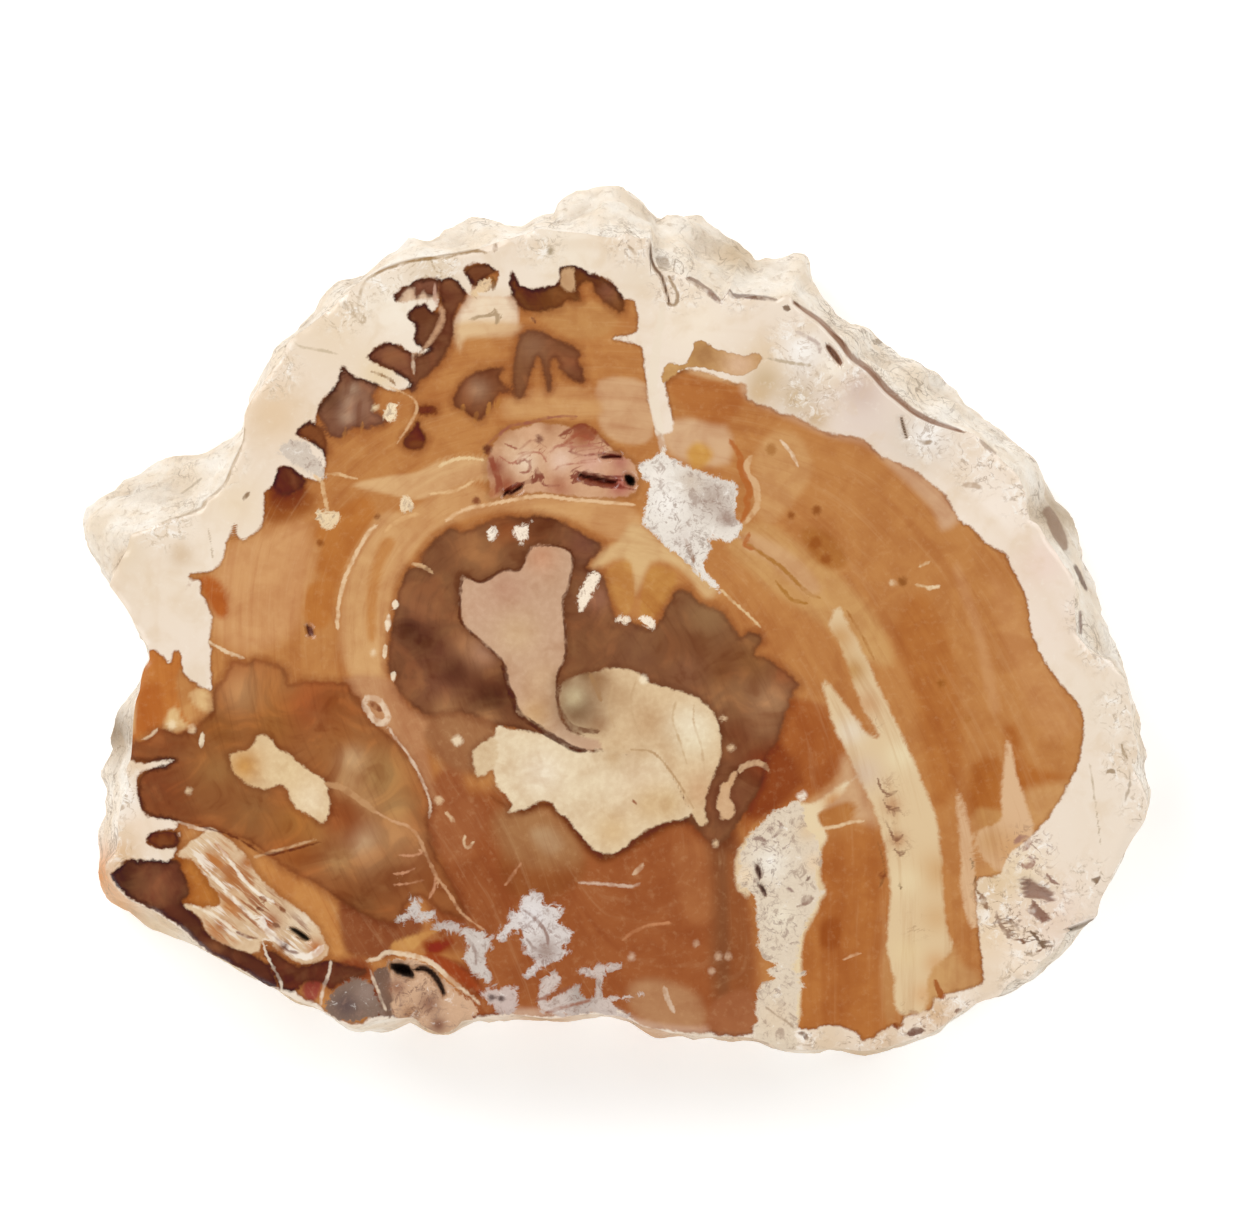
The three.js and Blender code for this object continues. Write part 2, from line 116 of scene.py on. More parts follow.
# Edge of the polished face.
FACE_EDGE = [
    (-56, 3.6), (-55, 6), (-54, 8), (-53.6, 9.4), (-51.5, 10.2), (-49.5, 11.1), (-47.5, 11.6), (-46, 12.2),
    (-45.2, 13.4), (-44, 14.1), (-43.2, 15.2), (-42.6, 16.6), (-42, 18), (-41.2, 19.6), (-41, 21.2),
    (-40.8, 23), (-40.2, 24.4), (-39.2, 26), (-38, 27.6), (-36.8, 29), (-36, 31), (-34, 32.5), (-31.5, 34.5),
    (-29, 36.8), (-27, 38.3), (-25.5, 39), (-23.5, 39.7), (-21.5, 40.2), (-18, 40.6), (-16, 41),
    (-14.5, 41.4), (-12.8, 42), (-10, 42.8), (-8.5, 43.4), (-6, 43.2), (-3.5, 43), (0, 42.5), (1.5, 42.9),
    (3, 42.4), (4.2, 42.4), (4.4, 40), (5.2, 38.8), (7, 38.6), (8.2, 38), (10, 37), (11.2, 36.3), (12, 35.4),
    (12.9, 36.6), (13.5, 35.9), (16, 36), (18.2, 35.6), (19.5, 36.1), (20.3, 35.2), (21.5, 34.2), (23, 33.2),
    (24.2, 32.2), (25.4, 31.2), (26, 30), (26.8, 28.7), (28.4, 28), (29.4, 27), (30.3, 25.6), (31.6, 24.6),
    (33, 23.4), (34.5, 22.4), (36, 21.7), (38, 21.2), (39.5, 20.9), (40.8, 20.2), (41.6, 19.2), (42.8, 18.2),
    (43.8, 17.2), (45, 16), (45.8, 14.2), (45.9, 12.8), (46.3, 11.2), (47.2, 10.6), (48.2, 9), (49.2, 7.6),
    (50.2, 6), (51, 5), (51.4, 3.4), (51.3, 1.5), (51.5, -1.4), (52.5, -2.8), (53.2, -3.6), (54.4, -4.2),
    (55.3, -4.4), (55.8, -5.4), (56.8, -6.6), (57.2, -8), (57.6, -10), (57.7, -12), (58.2, -13.6),
    (58.2, -15.4), (57.8, -16.4), (58.6, -18), (59.4, -20.8), (59.2, -22), (57.6, -24.6), (55.6, -28.2),
    (54.6, -30.2), (53.8, -32), (53.6, -33.1), (51, -34.4), (50.2, -35), (49.8, -35.9), (48.6, -37.2),
    (47.5, -38), (46.6, -39.4), (46.2, -39.9), (44.8, -39.9), (43.8, -40.6), (43, -41.6), (41.5, -42.2),
    (40, -42.8), (38.6, -43.6), (36.5, -45.2), (35, -46.1), (32.6, -46.8), (31, -47.3), (28, -47.9),
    (25, -47.6), (22, -47.8), (18.4, -47.5), (16.8, -46.8), (15, -46.4), (12.2, -46.3), (9.5, -46.3),
    (8, -46), (6.5, -45.9), (5, -45.5), (3.4, -45.2), (2, -44.5), (0.5, -44), (-2, -43.8), (-4, -43.9),
    (-7, -44.3), (-9, -44.1), (-11, -43.9), (-14.5, -44.4), (-16.8, -44.6), (-17.6, -45.5), (-19.5, -45.9),
    (-21, -45.2), (-22, -44.3), (-24, -44.3), (-26.5, -44.6), (-28, -45.2), (-30, -44.8), (-31.6, -43.9),
    (-33, -43.1), (-34.5, -42.6), (-37.3, -41.1), (-38.5, -40.6), (-40, -39.6), (-42, -38.5), (-44, -37.4),
    (-45.2, -36.9), (-46, -36.1), (-48, -34.4), (-49.4, -33.4), (-51, -32.4), (-52.4, -31.7), (-53.6, -31.2),
    (-55, -30), (-56.2, -28.6), (-56.4, -27.2), (-55.4, -26), (-55, -24.5), (-55, -22.5), (-54.5, -20),
    (-53.8, -18.2), (-54.1, -16.8), (-53.6, -15.4), (-53.4, -13), (-53.3, -11), (-53, -9), (-52.6, -7.8),
    (-52.4, -6.4), (-52.1, -5.4), (-51.5, -4.3), (-51.6, -3.2), (-52.6, -1.4), (-53.6, 0.4), (-54.6, 2),
]

# Open pits: depth, colour inside and outline. The near-black colours are painted shade of the deep holes;
# the brown ones are the stone's own colour.
PITS = [
    (2.6, "#170a06", [(1.2, 16.3), (2.1, 16.2), (2.6, 15.6), (2.5, 14.9), (1.9, 14.8), (1.3, 15.3)]),
    (3.2, "#1c0d08", [(-25.1, -38.3), (-24, -38), (-22.8, -38.2), (-22.2, -38.9), (-21.9, -39.9),
        (-23.2, -39.8), (-24.3, -39.3)]),
    (2, "#170a06", [(-36.2, -33.8), (-35.2, -34.2), (-34, -34.9), (-33.6, -35.6), (-34.3, -35.8),
        (-35.3, -35.1)]),
    (1.3, "#581a12", [(-34.2, -0.5), (-33.6, -0.5), (-33.2, -1.3), (-33.3, -2), (-33.9, -1.8)]),
    (0.9, "#94705e", [(45.4, -28.5), (46.6, -28.8), (47.5, -29.4), (48.9, -30.1), (49.1, -31.2),
        (48.5, -31.6), (47.6, -31), (46.5, -31.1), (45.5, -30.8)]),
    (2.2, "#94745c", [(47.9, 12.4), (49.1, 12.7), (50.4, 10.4), (51, 8.2), (50.2, 7.6), (48.7, 9.6)]),
]

# Open cracks: width, depth, colour inside and path. Inside them the brown is the stone's own colour; the
# darkest colours add painted shade of their depth.
CRACKS = [
    (0.85, 0.8, "#8f6347", [(20, 35.4), (21.5, 34.3), (23, 33.3), (24.2, 32.1), (25.4, 30.8), (26.5, 29.3),
        (28.4, 27.9), (30.4, 25.7), (31.8, 24.5), (33.4, 23.2), (35.2, 22.2), (37.2, 21.5), (39, 20.9)]),
    (0.8, 1.2, "#96664a", [(23.8, 30.5), (24.6, 29.5), (25.4, 28.4)]),
    (0.45, 0.6, "#8f7258", [(32, 22.6), (32.3, 21.4), (32.7, 20.1)]),
    (0.45, 0.6, "#8a6a50", [(4.3, 42.4), (4.2, 40.6), (4.6, 39.2), (5.4, 38.2), (5.9, 36.6), (6.4, 34.8)]),
    (0.6, 1.1, "#561a10", [(-12.3, 14), (-11.2, 14.3), (-10, 14.8)]),
    (0.8, 1.2, "#5a1c12", [(-3.8, 16.1), (-2.4, 15.8), (-1, 15.5), (0.4, 15.2)]),
    (0.6, 1, "#6a2018", [(-1.4, 18), (-0.2, 18.2), (1, 18.2)]),
    (0.7, 1.6, "#3a1e14", [(-22, -38.9), (-21.2, -38.7), (-20.3, -39.1), (-19.6, -39.9), (-19.1, -40.8),
        (-18.7, -41.8)]),
    (0.6, 0.8, "#6a4c40", [(15.9, -27.2), (16.2, -27.9), (16.4, -28.7)]),
    (0.5, 0.8, "#6a4c40", [(16.4, -29.4), (16.7, -30), (17.1, -30.6)]),
    (0.8, 2, "#8a7660", [(50.8, -34.5), (52.2, -34), (53.8, -33.3)]),
    (0.8, 1.5, "#5f3a22", [(51.4, 6.3), (52.2, 4.8), (53, 3.3)]),
]

# Outline of the coloured heartwood. Outside it is the cream rind.
HEART = [
    (-54.5, -13.5), (-54.2, -9), (-53.6, -6.4), (-51.8, -3.5), (-50.5, -3.5), (-49.2, -4.9), (-49, -3.8),
    (-48.4, -3.3), (-47.9, -4), (-47.6, -6), (-44.7, -7.8), (-44.8, -5.5), (-44.7, -3.2), (-44.9, -2.4),
    (-44.6, 0.4), (-45.8, 3), (-45.9, 4.2), (-46.4, 4.6), (-47.4, 3.2), (-47, 4.4), (-47.2, 5.1),
    (-44.6, 5.5), (-43.5, 6.5), (-43.1, 8.2), (-42, 10.8), (-41.6, 9.2), (-40.8, 8.9), (-39.3, 10.2),
    (-38.9, 11.4), (-38.7, 14.2), (-37.9, 14.9), (-37.1, 17.1), (-35.8, 17), (-34, 15.8), (-32.4, 15.6),
    (-32, 17.9), (-33, 19.4), (-35.3, 20.6), (-33.8, 22.2), (-33.2, 21.8), (-32.6, 24), (-30.8, 26.2),
    (-30.1, 28.2), (-28.6, 27), (-26.4, 26.3), (-24.2, 25.4), (-22.4, 26.2), (-24.4, 27.6), (-27.4, 29.2),
    (-24.9, 30.9), (-21.8, 29.6), (-20.2, 30.2), (-21.3, 30.2), (-22.2, 31.2), (-21.9, 32.4), (-22.9, 33.9),
    (-22, 34.9), (-20.8, 35.1), (-20, 34.3), (-19.4, 35.2), (-20, 35.8), (-24.2, 35.4), (-23.6, 37),
    (-22.6, 37.3), (-21.8, 37.8), (-20, 38.1), (-19.2, 37.8), (-17.8, 38.1), (-16, 36.2), (-14.6, 36),
    (-11.4, 36), (-11.5, 37), (-11.3, 38.9), (-10.2, 37.2), (-8.2, 36.9), (-6.1, 37.6), (-5.9, 39.1),
    (-4.2, 39.3), (-2.5, 38.6), (-0.8, 38), (0.4, 37), (1.1, 35.8), (2.4, 35.4), (2.8, 32.8), (2.2, 31.7),
    (0.4, 31.5), (0.4, 31.1), (3, 30.5), (3.6, 28), (4, 24), (5, 21), (6.6, 21), (6.4, 23.4), (5.8, 26.6),
    (8.6, 27.9), (13, 26.5), (14.8, 26.2), (15, 24.6), (17.5, 23.6), (19, 22.8), (20, 22.8), (23, 21.1),
    (25, 20.6), (27.8, 20.1), (30, 18.1), (33.2, 16.8), (35.8, 14.8), (37, 13.8), (38.6, 11), (39.8, 10.4),
    (41.4, 8.6), (43.6, 7.4), (44.2, 6), (46, 2.4), (46.4, -0.8), (47.8, -4.2), (49.8, -7.1), (52, -9.8),
    (52.3, -12.5), (52, -14), (51.9, -15.4), (50.2, -19.2), (49, -21), (46.8, -23.8), (44, -26), (43.2, -28),
    (42.4, -28.6), (40.4, -29), (40.5, -33), (40.8, -36), (41.2, -40), (40.2, -40.8), (37, -41.6),
    (36.4, -42.1), (35.6, -42), (35.4, -43.2), (32.4, -44.2), (32.2, -45), (31.4, -45.6), (31, -45),
    (28, -46.8), (27, -45.8), (24, -45), (22, -45.6), (20.6, -45.4), (16, -45.2), (15.6, -46), (12.2, -46.2),
    (11, -45.9), (8, -45.9), (6, -45.5), (3.4, -45.2), (0, -43), (-2, -43.5), (-6, -44), (-9, -44),
    (-12, -43.8), (-16.6, -44.4), (-18, -45.4), (-20.5, -45.4), (-22, -44.4), (-26.4, -44), (-28, -44.8),
    (-29.4, -44.8), (-32.2, -43.4), (-33, -42.6), (-34.2, -42.2), (-35.4, -41.4), (-38.5, -40.6),
    (-42, -38.4), (-45.2, -36.8), (-48, -34.2), (-51, -32.2), (-53.6, -31), (-55.9, -28.5), (-55, -27.6),
    (-54.2, -26.7), (-53.4, -26.5), (-52.4, -27), (-52.2, -26.5), (-49, -26.6), (-48.4, -22.6),
    (-51.8, -21.8), (-52.9, -19), (-52.8, -17.4), (-52, -16.6), (-50, -16.2), (-48.8, -15.6), (-50, -15.6),
    (-53.2, -15.8),
]

# Heartwood that stands by itself in the rind.
HEART_ISLANDS = [
    [(-16.6, 38.9), (-15.6, 39.6), (-14.2, 39.7), (-13, 38.9), (-12.6, 38.4), (-13, 37.4), (-13.4, 36.4),
        (-13.8, 37.6), (-14.6, 37.6), (-15.2, 36.4), (-15.6, 36.2), (-15.8, 37.4), (-16.2, 38)],
    [(-51.9, -24.2), (-51, -23.5), (-49.2, -23.2), (-48.5, -23.6), (-48.2, -25), (-49, -25.4),
        (-50.4, -25.5), (-51.6, -25)],
]

# A closed line of even growth round the pith, which the growth bands follow inside and outside it.
PITH = np.array([-8.0, -2.0])
GROWTH = [
    (-26, -2), (-25, 5), (-20, 11), (-14, 13.6), (-8, 14.2), (0, 13.8), (8, 12.6), (15.5, 9.6), (21, 4.4),
    (26, -4), (31, -14), (34, -28), (34, -42), (34, -56), (33, -72), (12, -76), (-4, -56), (-10, -38),
    (-14, -29), (-19, -21), (-23.4, -12),
]

# Soft tints of the heartwood: colour, softness of the edge, outline.
AMBER = "#bd8149"
WOOD_TINTS = [
    # honey field on the left
    ("#cf9a66", 2.5, [(-43.5, 7.5), (-39, 9.6), (-34.5, 11), (-33.5, 7.5), (-34, 3.5), (-35, -0.5),
        (-38, -3), (-42, -3.5), (-44.5, -1), (-44.5, 3)]),
    ("#9c5a2a", 1.6, [(-39, 14.4), (-34, 14.6), (-33.2, 12.6), (-35.6, 11.2), (-38.8, 11.2)]),
    # rust beside the arc band
    ("#b87438", 0.9, [(-33, 10), (-28, 13.8), (-26.4, 12), (-28, 9), (-30.6, 4), (-31.4, 0), (-33, -1),
        (-34.4, 0.6), (-34, 3.6), (-32.4, 4.6), (-33, 6), (-32.4, 8)]),
    ("#b4622a", 0.8, [(-46, 4.4), (-44.6, 4.8), (-43.2, 3.4), (-42.8, 0.8), (-44, 0.4)]),
    # pale growth band round the left of the centre
    ("#d0a06b", 0.9, [(-25, 12), (-27.5, 9.5), (-29.4, 6), (-30.2, 2), (-30.4, -2), (-29.6, -5.6), (-27, -8),
        (-25.2, -7), (-25.2, -3), (-24.8, 1), (-24, 4.5), (-20.5, 9.5), (-18.5, 11)]),
    ("#c2864c", 0.6, [(-25.6, 9), (-26.8, 6), (-27.4, 2), (-27.2, -2), (-26.4, -2), (-26.2, 2), (-25.6, 5.6),
        (-24.2, 8.6)]),
    ("#cd9b66", 0.9, [(-24, 10.5), (-20, 13.8), (-16, 15.2), (-13, 13.8), (-8, 14), (0, 13.4), (3, 11.5),
        (3, 9), (0, 9), (-4, 11), (-9, 12), (-14, 12), (-19, 10.5)]),
    ("#d6ab78", 0.5, [(-29, 15), (-24.8, 16), (-21.8, 16.4), (-18.8, 17.8), (-14, 18), (-13.8, 15.6),
        (-16, 15.4), (-21.4, 13.4), (-25, 14)]),
    # cream between the dark slots of the upper left
    ("#ead4b6", 0.5, [(-18, 32.4), (-16.2, 36), (-15.8, 37), (-11.4, 37), (-10.5, 33.4), (-11.4, 32.6),
        (-15.4, 32.8), (-16.6, 32)]),
    ("#dcb98c", 0.9, [(-17.7, 33), (-17, 30), (-16.2, 31.4), (-11.2, 31.6), (-10.7, 33)]),
    ("#ead4b6", 0.25, [(-24, 35.2), (-22.8, 37), (-20, 37.4), (-19.5, 35.4), (-21.8, 35.2)]),
    ("#dcbc98", 0.3, [(-22.2, 29.9), (-21.2, 30.3), (-19.5, 33.4), (-19.3, 35), (-18.5, 34.2), (-18.8, 32.4),
        (-21, 29.4), (-22.2, 29.3)]),
    ("#85421f", 0.9, [(-38, 15), (-34.4, 15), (-34.6, 12.8), (-36.4, 12.2), (-38, 12.8)]),
    # two honey lobes and their pale stem, below the quartz
    ("#c08746", 0.5, [(3.6, 4.8), (5, 6), (7.2, 4.4), (4, -0.4), (3, 0.6)]),
    ("#d6b07c", 0.9, [(-2.4, 5.4), (-1.6, 7.4), (0.6, 8.8), (2.4, 10.8), (6.6, 7.6), (11.4, 4), (10.4, 2.4),
        (7.4, 5.8), (4.2, 6.4), (2.5, 2.8), (1.2, 6.9)]),
    ("#c48c4c", 0.5, [(-1.2, 4.6), (1.4, 6.6), (2.2, 5.4), (2.3, 2), (1, 0.6)]),
    # tan beside the white vein
    ("#d0a57a", 0.6, [(-1.6, 26.6), (4, 26.1), (4.4, 20.4), (1.4, 19.6), (-1.4, 21.4)]),
    ("#cb9862", 1.2, [(-9, 25.6), (-5, 26), (-2, 25), (-1.6, 22.6), (-8, 22.6), (-12, 22.4), (-12, 24.6)]),
    ("#c08a52", 1, [(-9, 34.6), (-5, 35.4), (-1, 35), (0.6, 33.6), (-1, 31.6), (-5, 31.4)]),
    ("#d2aa82", 1.2, [(5.4, 20.3), (6.6, 22.2), (12.4, 21.8), (12.8, 17.4), (7.5, 17.8)]),
    ("#b3703a", 1.2, [(6, 25.6), (6.8, 27.4), (10, 26.8), (14.6, 25.8), (13, 22), (9.6, 22.2)]),
    ("#d3a878", 0.6, [(8.4, 28.2), (12, 27.5), (15, 26.8), (14.8, 26), (8.8, 27.3)]),
    ("#cf9b50", 1, [(8.2, 18.4), (9, 19.6), (10.2, 19.5), (11.1, 18.2), (9.2, 16.6)]),
    # tan bands sweeping down from the quartz
    ("#c99660", 1.2, [(15.6, 18), (18, 21), (21, 20), (22, 16), (19, 12), (17, 10.5), (15.8, 13)]),
    ("#c9985f", 1.4, [(14, 10.4), (17, 10.8), (20, 9), (24, 6), (27, 3), (30, -1), (31, -5), (27, -4),
        (24, -1), (21, 1), (18, 3), (15, 5.6), (12.8, 8)]),
    ("#cfa273", 1.1, [(14.8, 9.8), (18, 8.6), (21, 6.4), (23, 3.6), (21.4, 3), (17, 6.8), (14.6, 8)]),
    ("#ad6f36", 1, [(21, 10), (24, 9.6), (26, 6.6), (24.4, 5.6), (22, 7)]),
    # faint upright growth bands of the right half
    ("#c68f5c", 0.8, [(38.6, 6), (40.4, 1), (41.6, -3), (43, -9.6), (42, -10), (41, -6), (40.2, -2),
        (39, 1.6), (37.8, 5.6)]),
    ("#b5733a", 1.6, [(34, 3), (37, -1), (38.4, -8), (38.8, -16), (36.4, -21), (35, -17), (33.6, -9),
        (31.4, -1)]),
    ("#c68d57", 2, [(42, 5), (45, 2), (46.6, -3), (50, -8), (51.6, -12), (48, -13), (45, -7), (43, -1)]),
    ("#b06a30", 1.2, [(43.4, -12.4), (44.8, -12), (46, -16), (50.6, -17.6), (45.6, -19.4), (44.2, -16)]),
    ("#ad682f", 1.2, [(40, -16), (43, -15.4), (43.2, -19), (43, -21.6), (39.8, -21.6)]),
    ("#c9965f", 1.8, [(45.2, -19.2), (51, -18), (48.6, -22), (44.4, -25.8), (43.4, -28.4), (40.4, -29),
        (38.8, -25), (39.6, -22), (43.2, -21.6)]),
    ("#bf8a52", 0.8, [(40.2, -21), (43.2, -21.4), (43.6, -23), (42.4, -25.4), (40.8, -24.4)]),
    ("#cda27c", 1.1, [(14.4, 26.6), (17, 24.4), (23, 21.6), (27.8, 20.6), (30.6, 18.4), (34, 16.6),
        (38.4, 11.8), (36.6, 10), (35.4, 12.4), (31, 16.8), (28, 19.4), (24, 20.4), (20.4, 22),
        (14.8, 24.6)]),
    # amber-red core below the smoky ring, and the pale column that slants down beside it
    ("#aa6432", 0.9, [(19, -9), (23.4, -9.4), (24.4, -12), (26, -15.2), (23.4, -18.6), (20.4, -20.4),
        (15.8, -22.6), (14.8, -23.8), (14, -20), (16.6, -15), (18.6, -12)]),
    ("#8c4520", 1.2, [(17.8, -13), (21, -18), (15.8, -22.4), (14.6, -20), (16, -16)]),
    # the amber columns below
    ("#d0a87e", 1.6, [(25.6, -15.2), (27, -16.6), (29.6, -23), (25, -21.4), (20.8, -21.6), (24.8, -18)]),
    ("#b97c42", 0.7, [(21.6, -22.2), (25.8, -20.2), (27, -20.8), (26.4, -22.2), (24.4, -22.9)]),
    ("#b5723a", 3, [(28.4, -22.8), (30.2, -28), (30.2, -32.6), (29.9, -38), (30.1, -43), (30.2, -47),
        (20, -47), (20, -36.6), (22.4, -32), (22.7, -26)]),
    ("#a35c28", 0.9, [(23.4, -33.4), (25, -33), (25.4, -35), (24.6, -36.6), (23, -36)]),
    ("#b4682c", 0.4, [(35.4, -39.2), (36.2, -40), (36.8, -41.6), (36.2, -42), (35.6, -40.6)]),
    ("#c99a64", 1.2, [(34.4, -38.6), (36, -37.6), (37.6, -36), (38.6, -38), (40.6, -39.4), (40.6, -41),
        (36.8, -41.6), (34, -43.4)]),
    ("#c08a54", 0.8, [(30, -37), (31.2, -37), (31.5, -44), (30.2, -44)]),
    # the rusty field of the lower middle
    ("#9d5a31", 2.2, [(-19, -23), (-15, -19), (-9, -19.6), (-2, -24.6), (5, -21.6), (10, -22), (14, -24),
        (15, -30), (16, -36), (16, -46.4), (8, -46.4), (0, -44.5), (-8, -45), (-16, -45.5), (-17, -38),
        (-14, -33), (-19, -28)]),
    ("#93552c", 1.6, [(-12, -25), (-5, -24.6), (-3, -28), (-7, -31), (-12, -30)]),
    ("#a5744a", 2.6, [(-13, -21.4), (-8, -20.6), (-4, -24), (-4, -27), (-9, -27.4), (-12.6, -25)]),
    ("#b58f68", 1.6, [(-9, -23.4), (-7, -23.2), (-5.6, -25), (-7, -26), (-8.6, -24.8)]),
    ("#743a16", 1.1, [(-13.4, -19.6), (-11.4, -20.8), (-7, -20), (-4, -22.2), (-1, -25.4), (5, -22.4),
        (9, -21), (9.4, -22.2), (6, -23.2), (0, -26.6), (-2.4, -26.2), (-7, -21), (-10, -21.6)]),
    ("#a7673c", 1.6, [(7, -25.4), (11, -24.6), (12, -29), (11, -34), (8, -33), (7, -28)]),
    ("#85502f", 2.2, [(10.6, -23), (13.6, -24), (13.8, -28), (13.4, -33), (13.8, -38), (13, -42),
        (11.4, -42), (11, -36), (11.2, -30)]),
    ("#94562f", 1.2, [(12.8, -26), (14.4, -28), (15, -33), (15.6, -38), (15, -42), (13.2, -42.4),
        (13, -34)]),
    ("#b3825a", 1.6, [(2, -40.6), (5, -40), (9.6, -42), (10, -46.4), (5, -46), (2, -43)]),
    ("#98562f", 1.8, [(-20, -29), (-15, -26), (-12, -31), (-14, -36), (-18, -37), (-20, -34)]),
    ("#c8a084", 0.9, [(-12, -43.4), (-6, -43.2), (-1, -42.6), (3, -44.4), (8, -45.2), (15.6, -45.2),
        (15.6, -47.4), (8, -47.4), (0, -46), (-12, -46)]),
    ("#a1643f", 0.9, [(11, -42.6), (14.6, -41), (15.8, -42.6), (15.6, -46.4), (11, -46.4)]),
    ("#a3643c", 1.4, [(-22, -21), (-17, -14), (-15.4, -12), (-16.6, -18), (-14, -22), (-17, -27),
        (-20.4, -25)]),
    ("#a3714a", 1.5, [(-23, -10), (-14, -10), (-13, -14), (-15, -17), (-19, -16), (-22, -12)]),
    ("#c08d62", 0.9, [(-29.8, -6.6), (-24.6, -6.6), (-22.6, -9.6), (-20.6, -11.4), (-21, -13),
        (-19.8, -19.4), (-20.6, -19.6), (-22.4, -15.6), (-26, -11.6)]),
    # orange tab at the left edge
    ("#bf7638", 0.5, [(-54, -13.4), (-50.3, -11.6), (-47, -12), (-48, -9.8), (-48.6, -6.4), (-47.6, -4),
        (-52, -3), (-54, -8)]),
    ("#b3652c", 1.6, [(-52.8, -12.4), (-50.4, -11.8), (-50, -9), (-51, -7), (-52.8, -8)]),
    ("#c99258", 0.6, [(-48, -10), (-46.4, -9), (-44, -8), (-43.6, -9.6), (-46, -11.8)]),
    ("#dfbb84", 0.5, [(-49.7, -12.5), (-49.5, -10.4), (-48.6, -9.7), (-48, -11), (-47.1, -12)]),
    ("#dfbb84", 0.5, [(-46.9, -8), (-45, -7.8), (-43.8, -10.6), (-45, -10.3), (-46.5, -9.4)]),
    ("#e2bd88", 0.6, [(-54.8, -13), (-54.6, -9), (-53.8, -6), (-53.2, -8), (-53.4, -12.6)]),
    # the lower left corner
    ("#9c5732", 0.8, [(-31.4, -38.6), (-28.6, -37.4), (-27, -38.4), (-27, -40), (-31, -40.6)]),
    ("#9b4a3c", 0.5, [(-34.4, -40.4), (-34.2, -42.2), (-33, -42.2), (-32.4, -40.6), (-32.6, -39.6)]),
    ("#c4864a", 0.5, [(-38.9, -26.4), (-37, -27.6), (-32.6, -30.4), (-30.2, -34.4), (-30.4, -37.6),
        (-34, -38), (-37, -33), (-40, -29)]),
    ("#b97636", 0.5, [(-48.6, -26.6), (-46.4, -26.2), (-43, -30), (-42.6, -32.2), (-48.2, -31.4)]),
    ("#8f5230", 1, [(-30, -30), (-24, -31.6), (-21, -34), (-24, -37.2), (-28, -37.6), (-30, -36)]),
    ("#cf9b5a", 0.4, [(-24.2, -37), (-24.4, -35.8), (-19, -34.2), (-20.6, -35.2), (-22.4, -36.8)]),
    ("#7c3a1c", 0.5, [(-19.8, -37.4), (-17, -38.2), (-15, -39.8), (-14.6, -41.8), (-16, -41)]),
    ("#8f3312", 1, [(-21, -35.8), (-19.6, -35.6), (-17.8, -35.6), (-19, -37), (-20.6, -37.2)]),
    ("#7a3a20", 0.5, [(-27.8, -43.6), (-26.4, -39), (-25.2, -39.4), (-24, -42), (-24.2, -44.2)]),
    ("#a04a24", 0.6, [(-21, -37.3), (-18.4, -37.6), (-16, -39.4), (-14.6, -41.3), (-16.6, -40.6)]),
]

# Pale wood in crisp bands: colour and outline.
PALE_WOOD = [
    # column that slants down at the right
    ("#dcc097", [(24, -0.6), (25.4, -3), (27.4, -9), (29.6, -12.8), (28.2, -12.6), (26.6, -10.4),
        (23.4, -6.6), (24, -10), (24.6, -12), (26, -14.8), (28, -19), (29.4, -22), (30.4, -26), (30.8, -31),
        (30.4, -36), (31.2, -39.6), (31.6, -43.6), (34.6, -43.4), (35, -40), (35.8, -38.4), (37.6, -36.6),
        (37, -33.6), (36.6, -29), (36.4, -25), (35.8, -21.6), (34.6, -18.6), (32.2, -13), (29.6, -7.6),
        (28, -4), (26.4, -1), (25.2, 1.4)]),
    # tongues beside it
    ("#d9b28a", [(38.2, -18.6), (38.3, -22), (38.7, -26), (38.6, -30), (39.8, -34.2), (40.5, -33.6),
        (40.2, -30), (40.2, -28), (39.6, -22.4)]),
    ("#d9b28a", [(43.8, -13.2), (43.2, -19), (43, -22.4), (40.6, -23.4), (40.6, -25.6), (43.4, -28),
        (46.6, -24.2), (46, -20.6), (44.8, -17)]),
    # margin of the white column
    ("#e4cda6", [(19.4, -20.8), (22.2, -20.4), (25, -18.6), (26.4, -17.6), (25.2, -19.6), (22.8, -21.6),
        (23.8, -24), (23, -26), (23.1, -28.6), (23.6, -30.4), (21.3, -35), (20.9, -38), (20.8, -44),
        (19.6, -44), (19.6, -30)]),
    ("#dfc49e", [(15.6, -23.4), (13.9, -25.8), (13.5, -28.4), (14, -30), (15.2, -30.8), (15.6, -27)]),
]

# Tints of the pale wood: colour, centre and radius.
PALE_WOOD_CLOUDS = [
    ("#c1935c", (26.6, -5.6), 1.6), ("#c99a66", (25.2, -2), 1.6), ("#cfa478", (28.2, -9.4), 1.6),
    ("#e2d0b6", (26.4, -12.4), 1.6), ("#d6bca0", (28, -17), 2), ("#e6d3ac", (32, -15), 1.6),
    ("#c79c74", (31, -20.6), 1), ("#bf9068", (31.6, -24.4), 0.9), ("#d0a878", (36, -28), 2.2),
    ("#d3ae80", (36, -33), 1.8), ("#e2cba2", (32.6, -29), 1.8), ("#e0c69a", (32.6, -37), 1.6),
    ("#d6ab7c", (34.6, -41.6), 1.3), ("#d2a676", (36, -38.2), 1.4), ("#d0aa7a", (25, -3.6), 1.4),
    ("#c99c6c", (42, -24.6), 1.8), ("#cfa070", (44, -25.6), 2), ("#c98f58", (24.6, -20.2), 1.2),
]

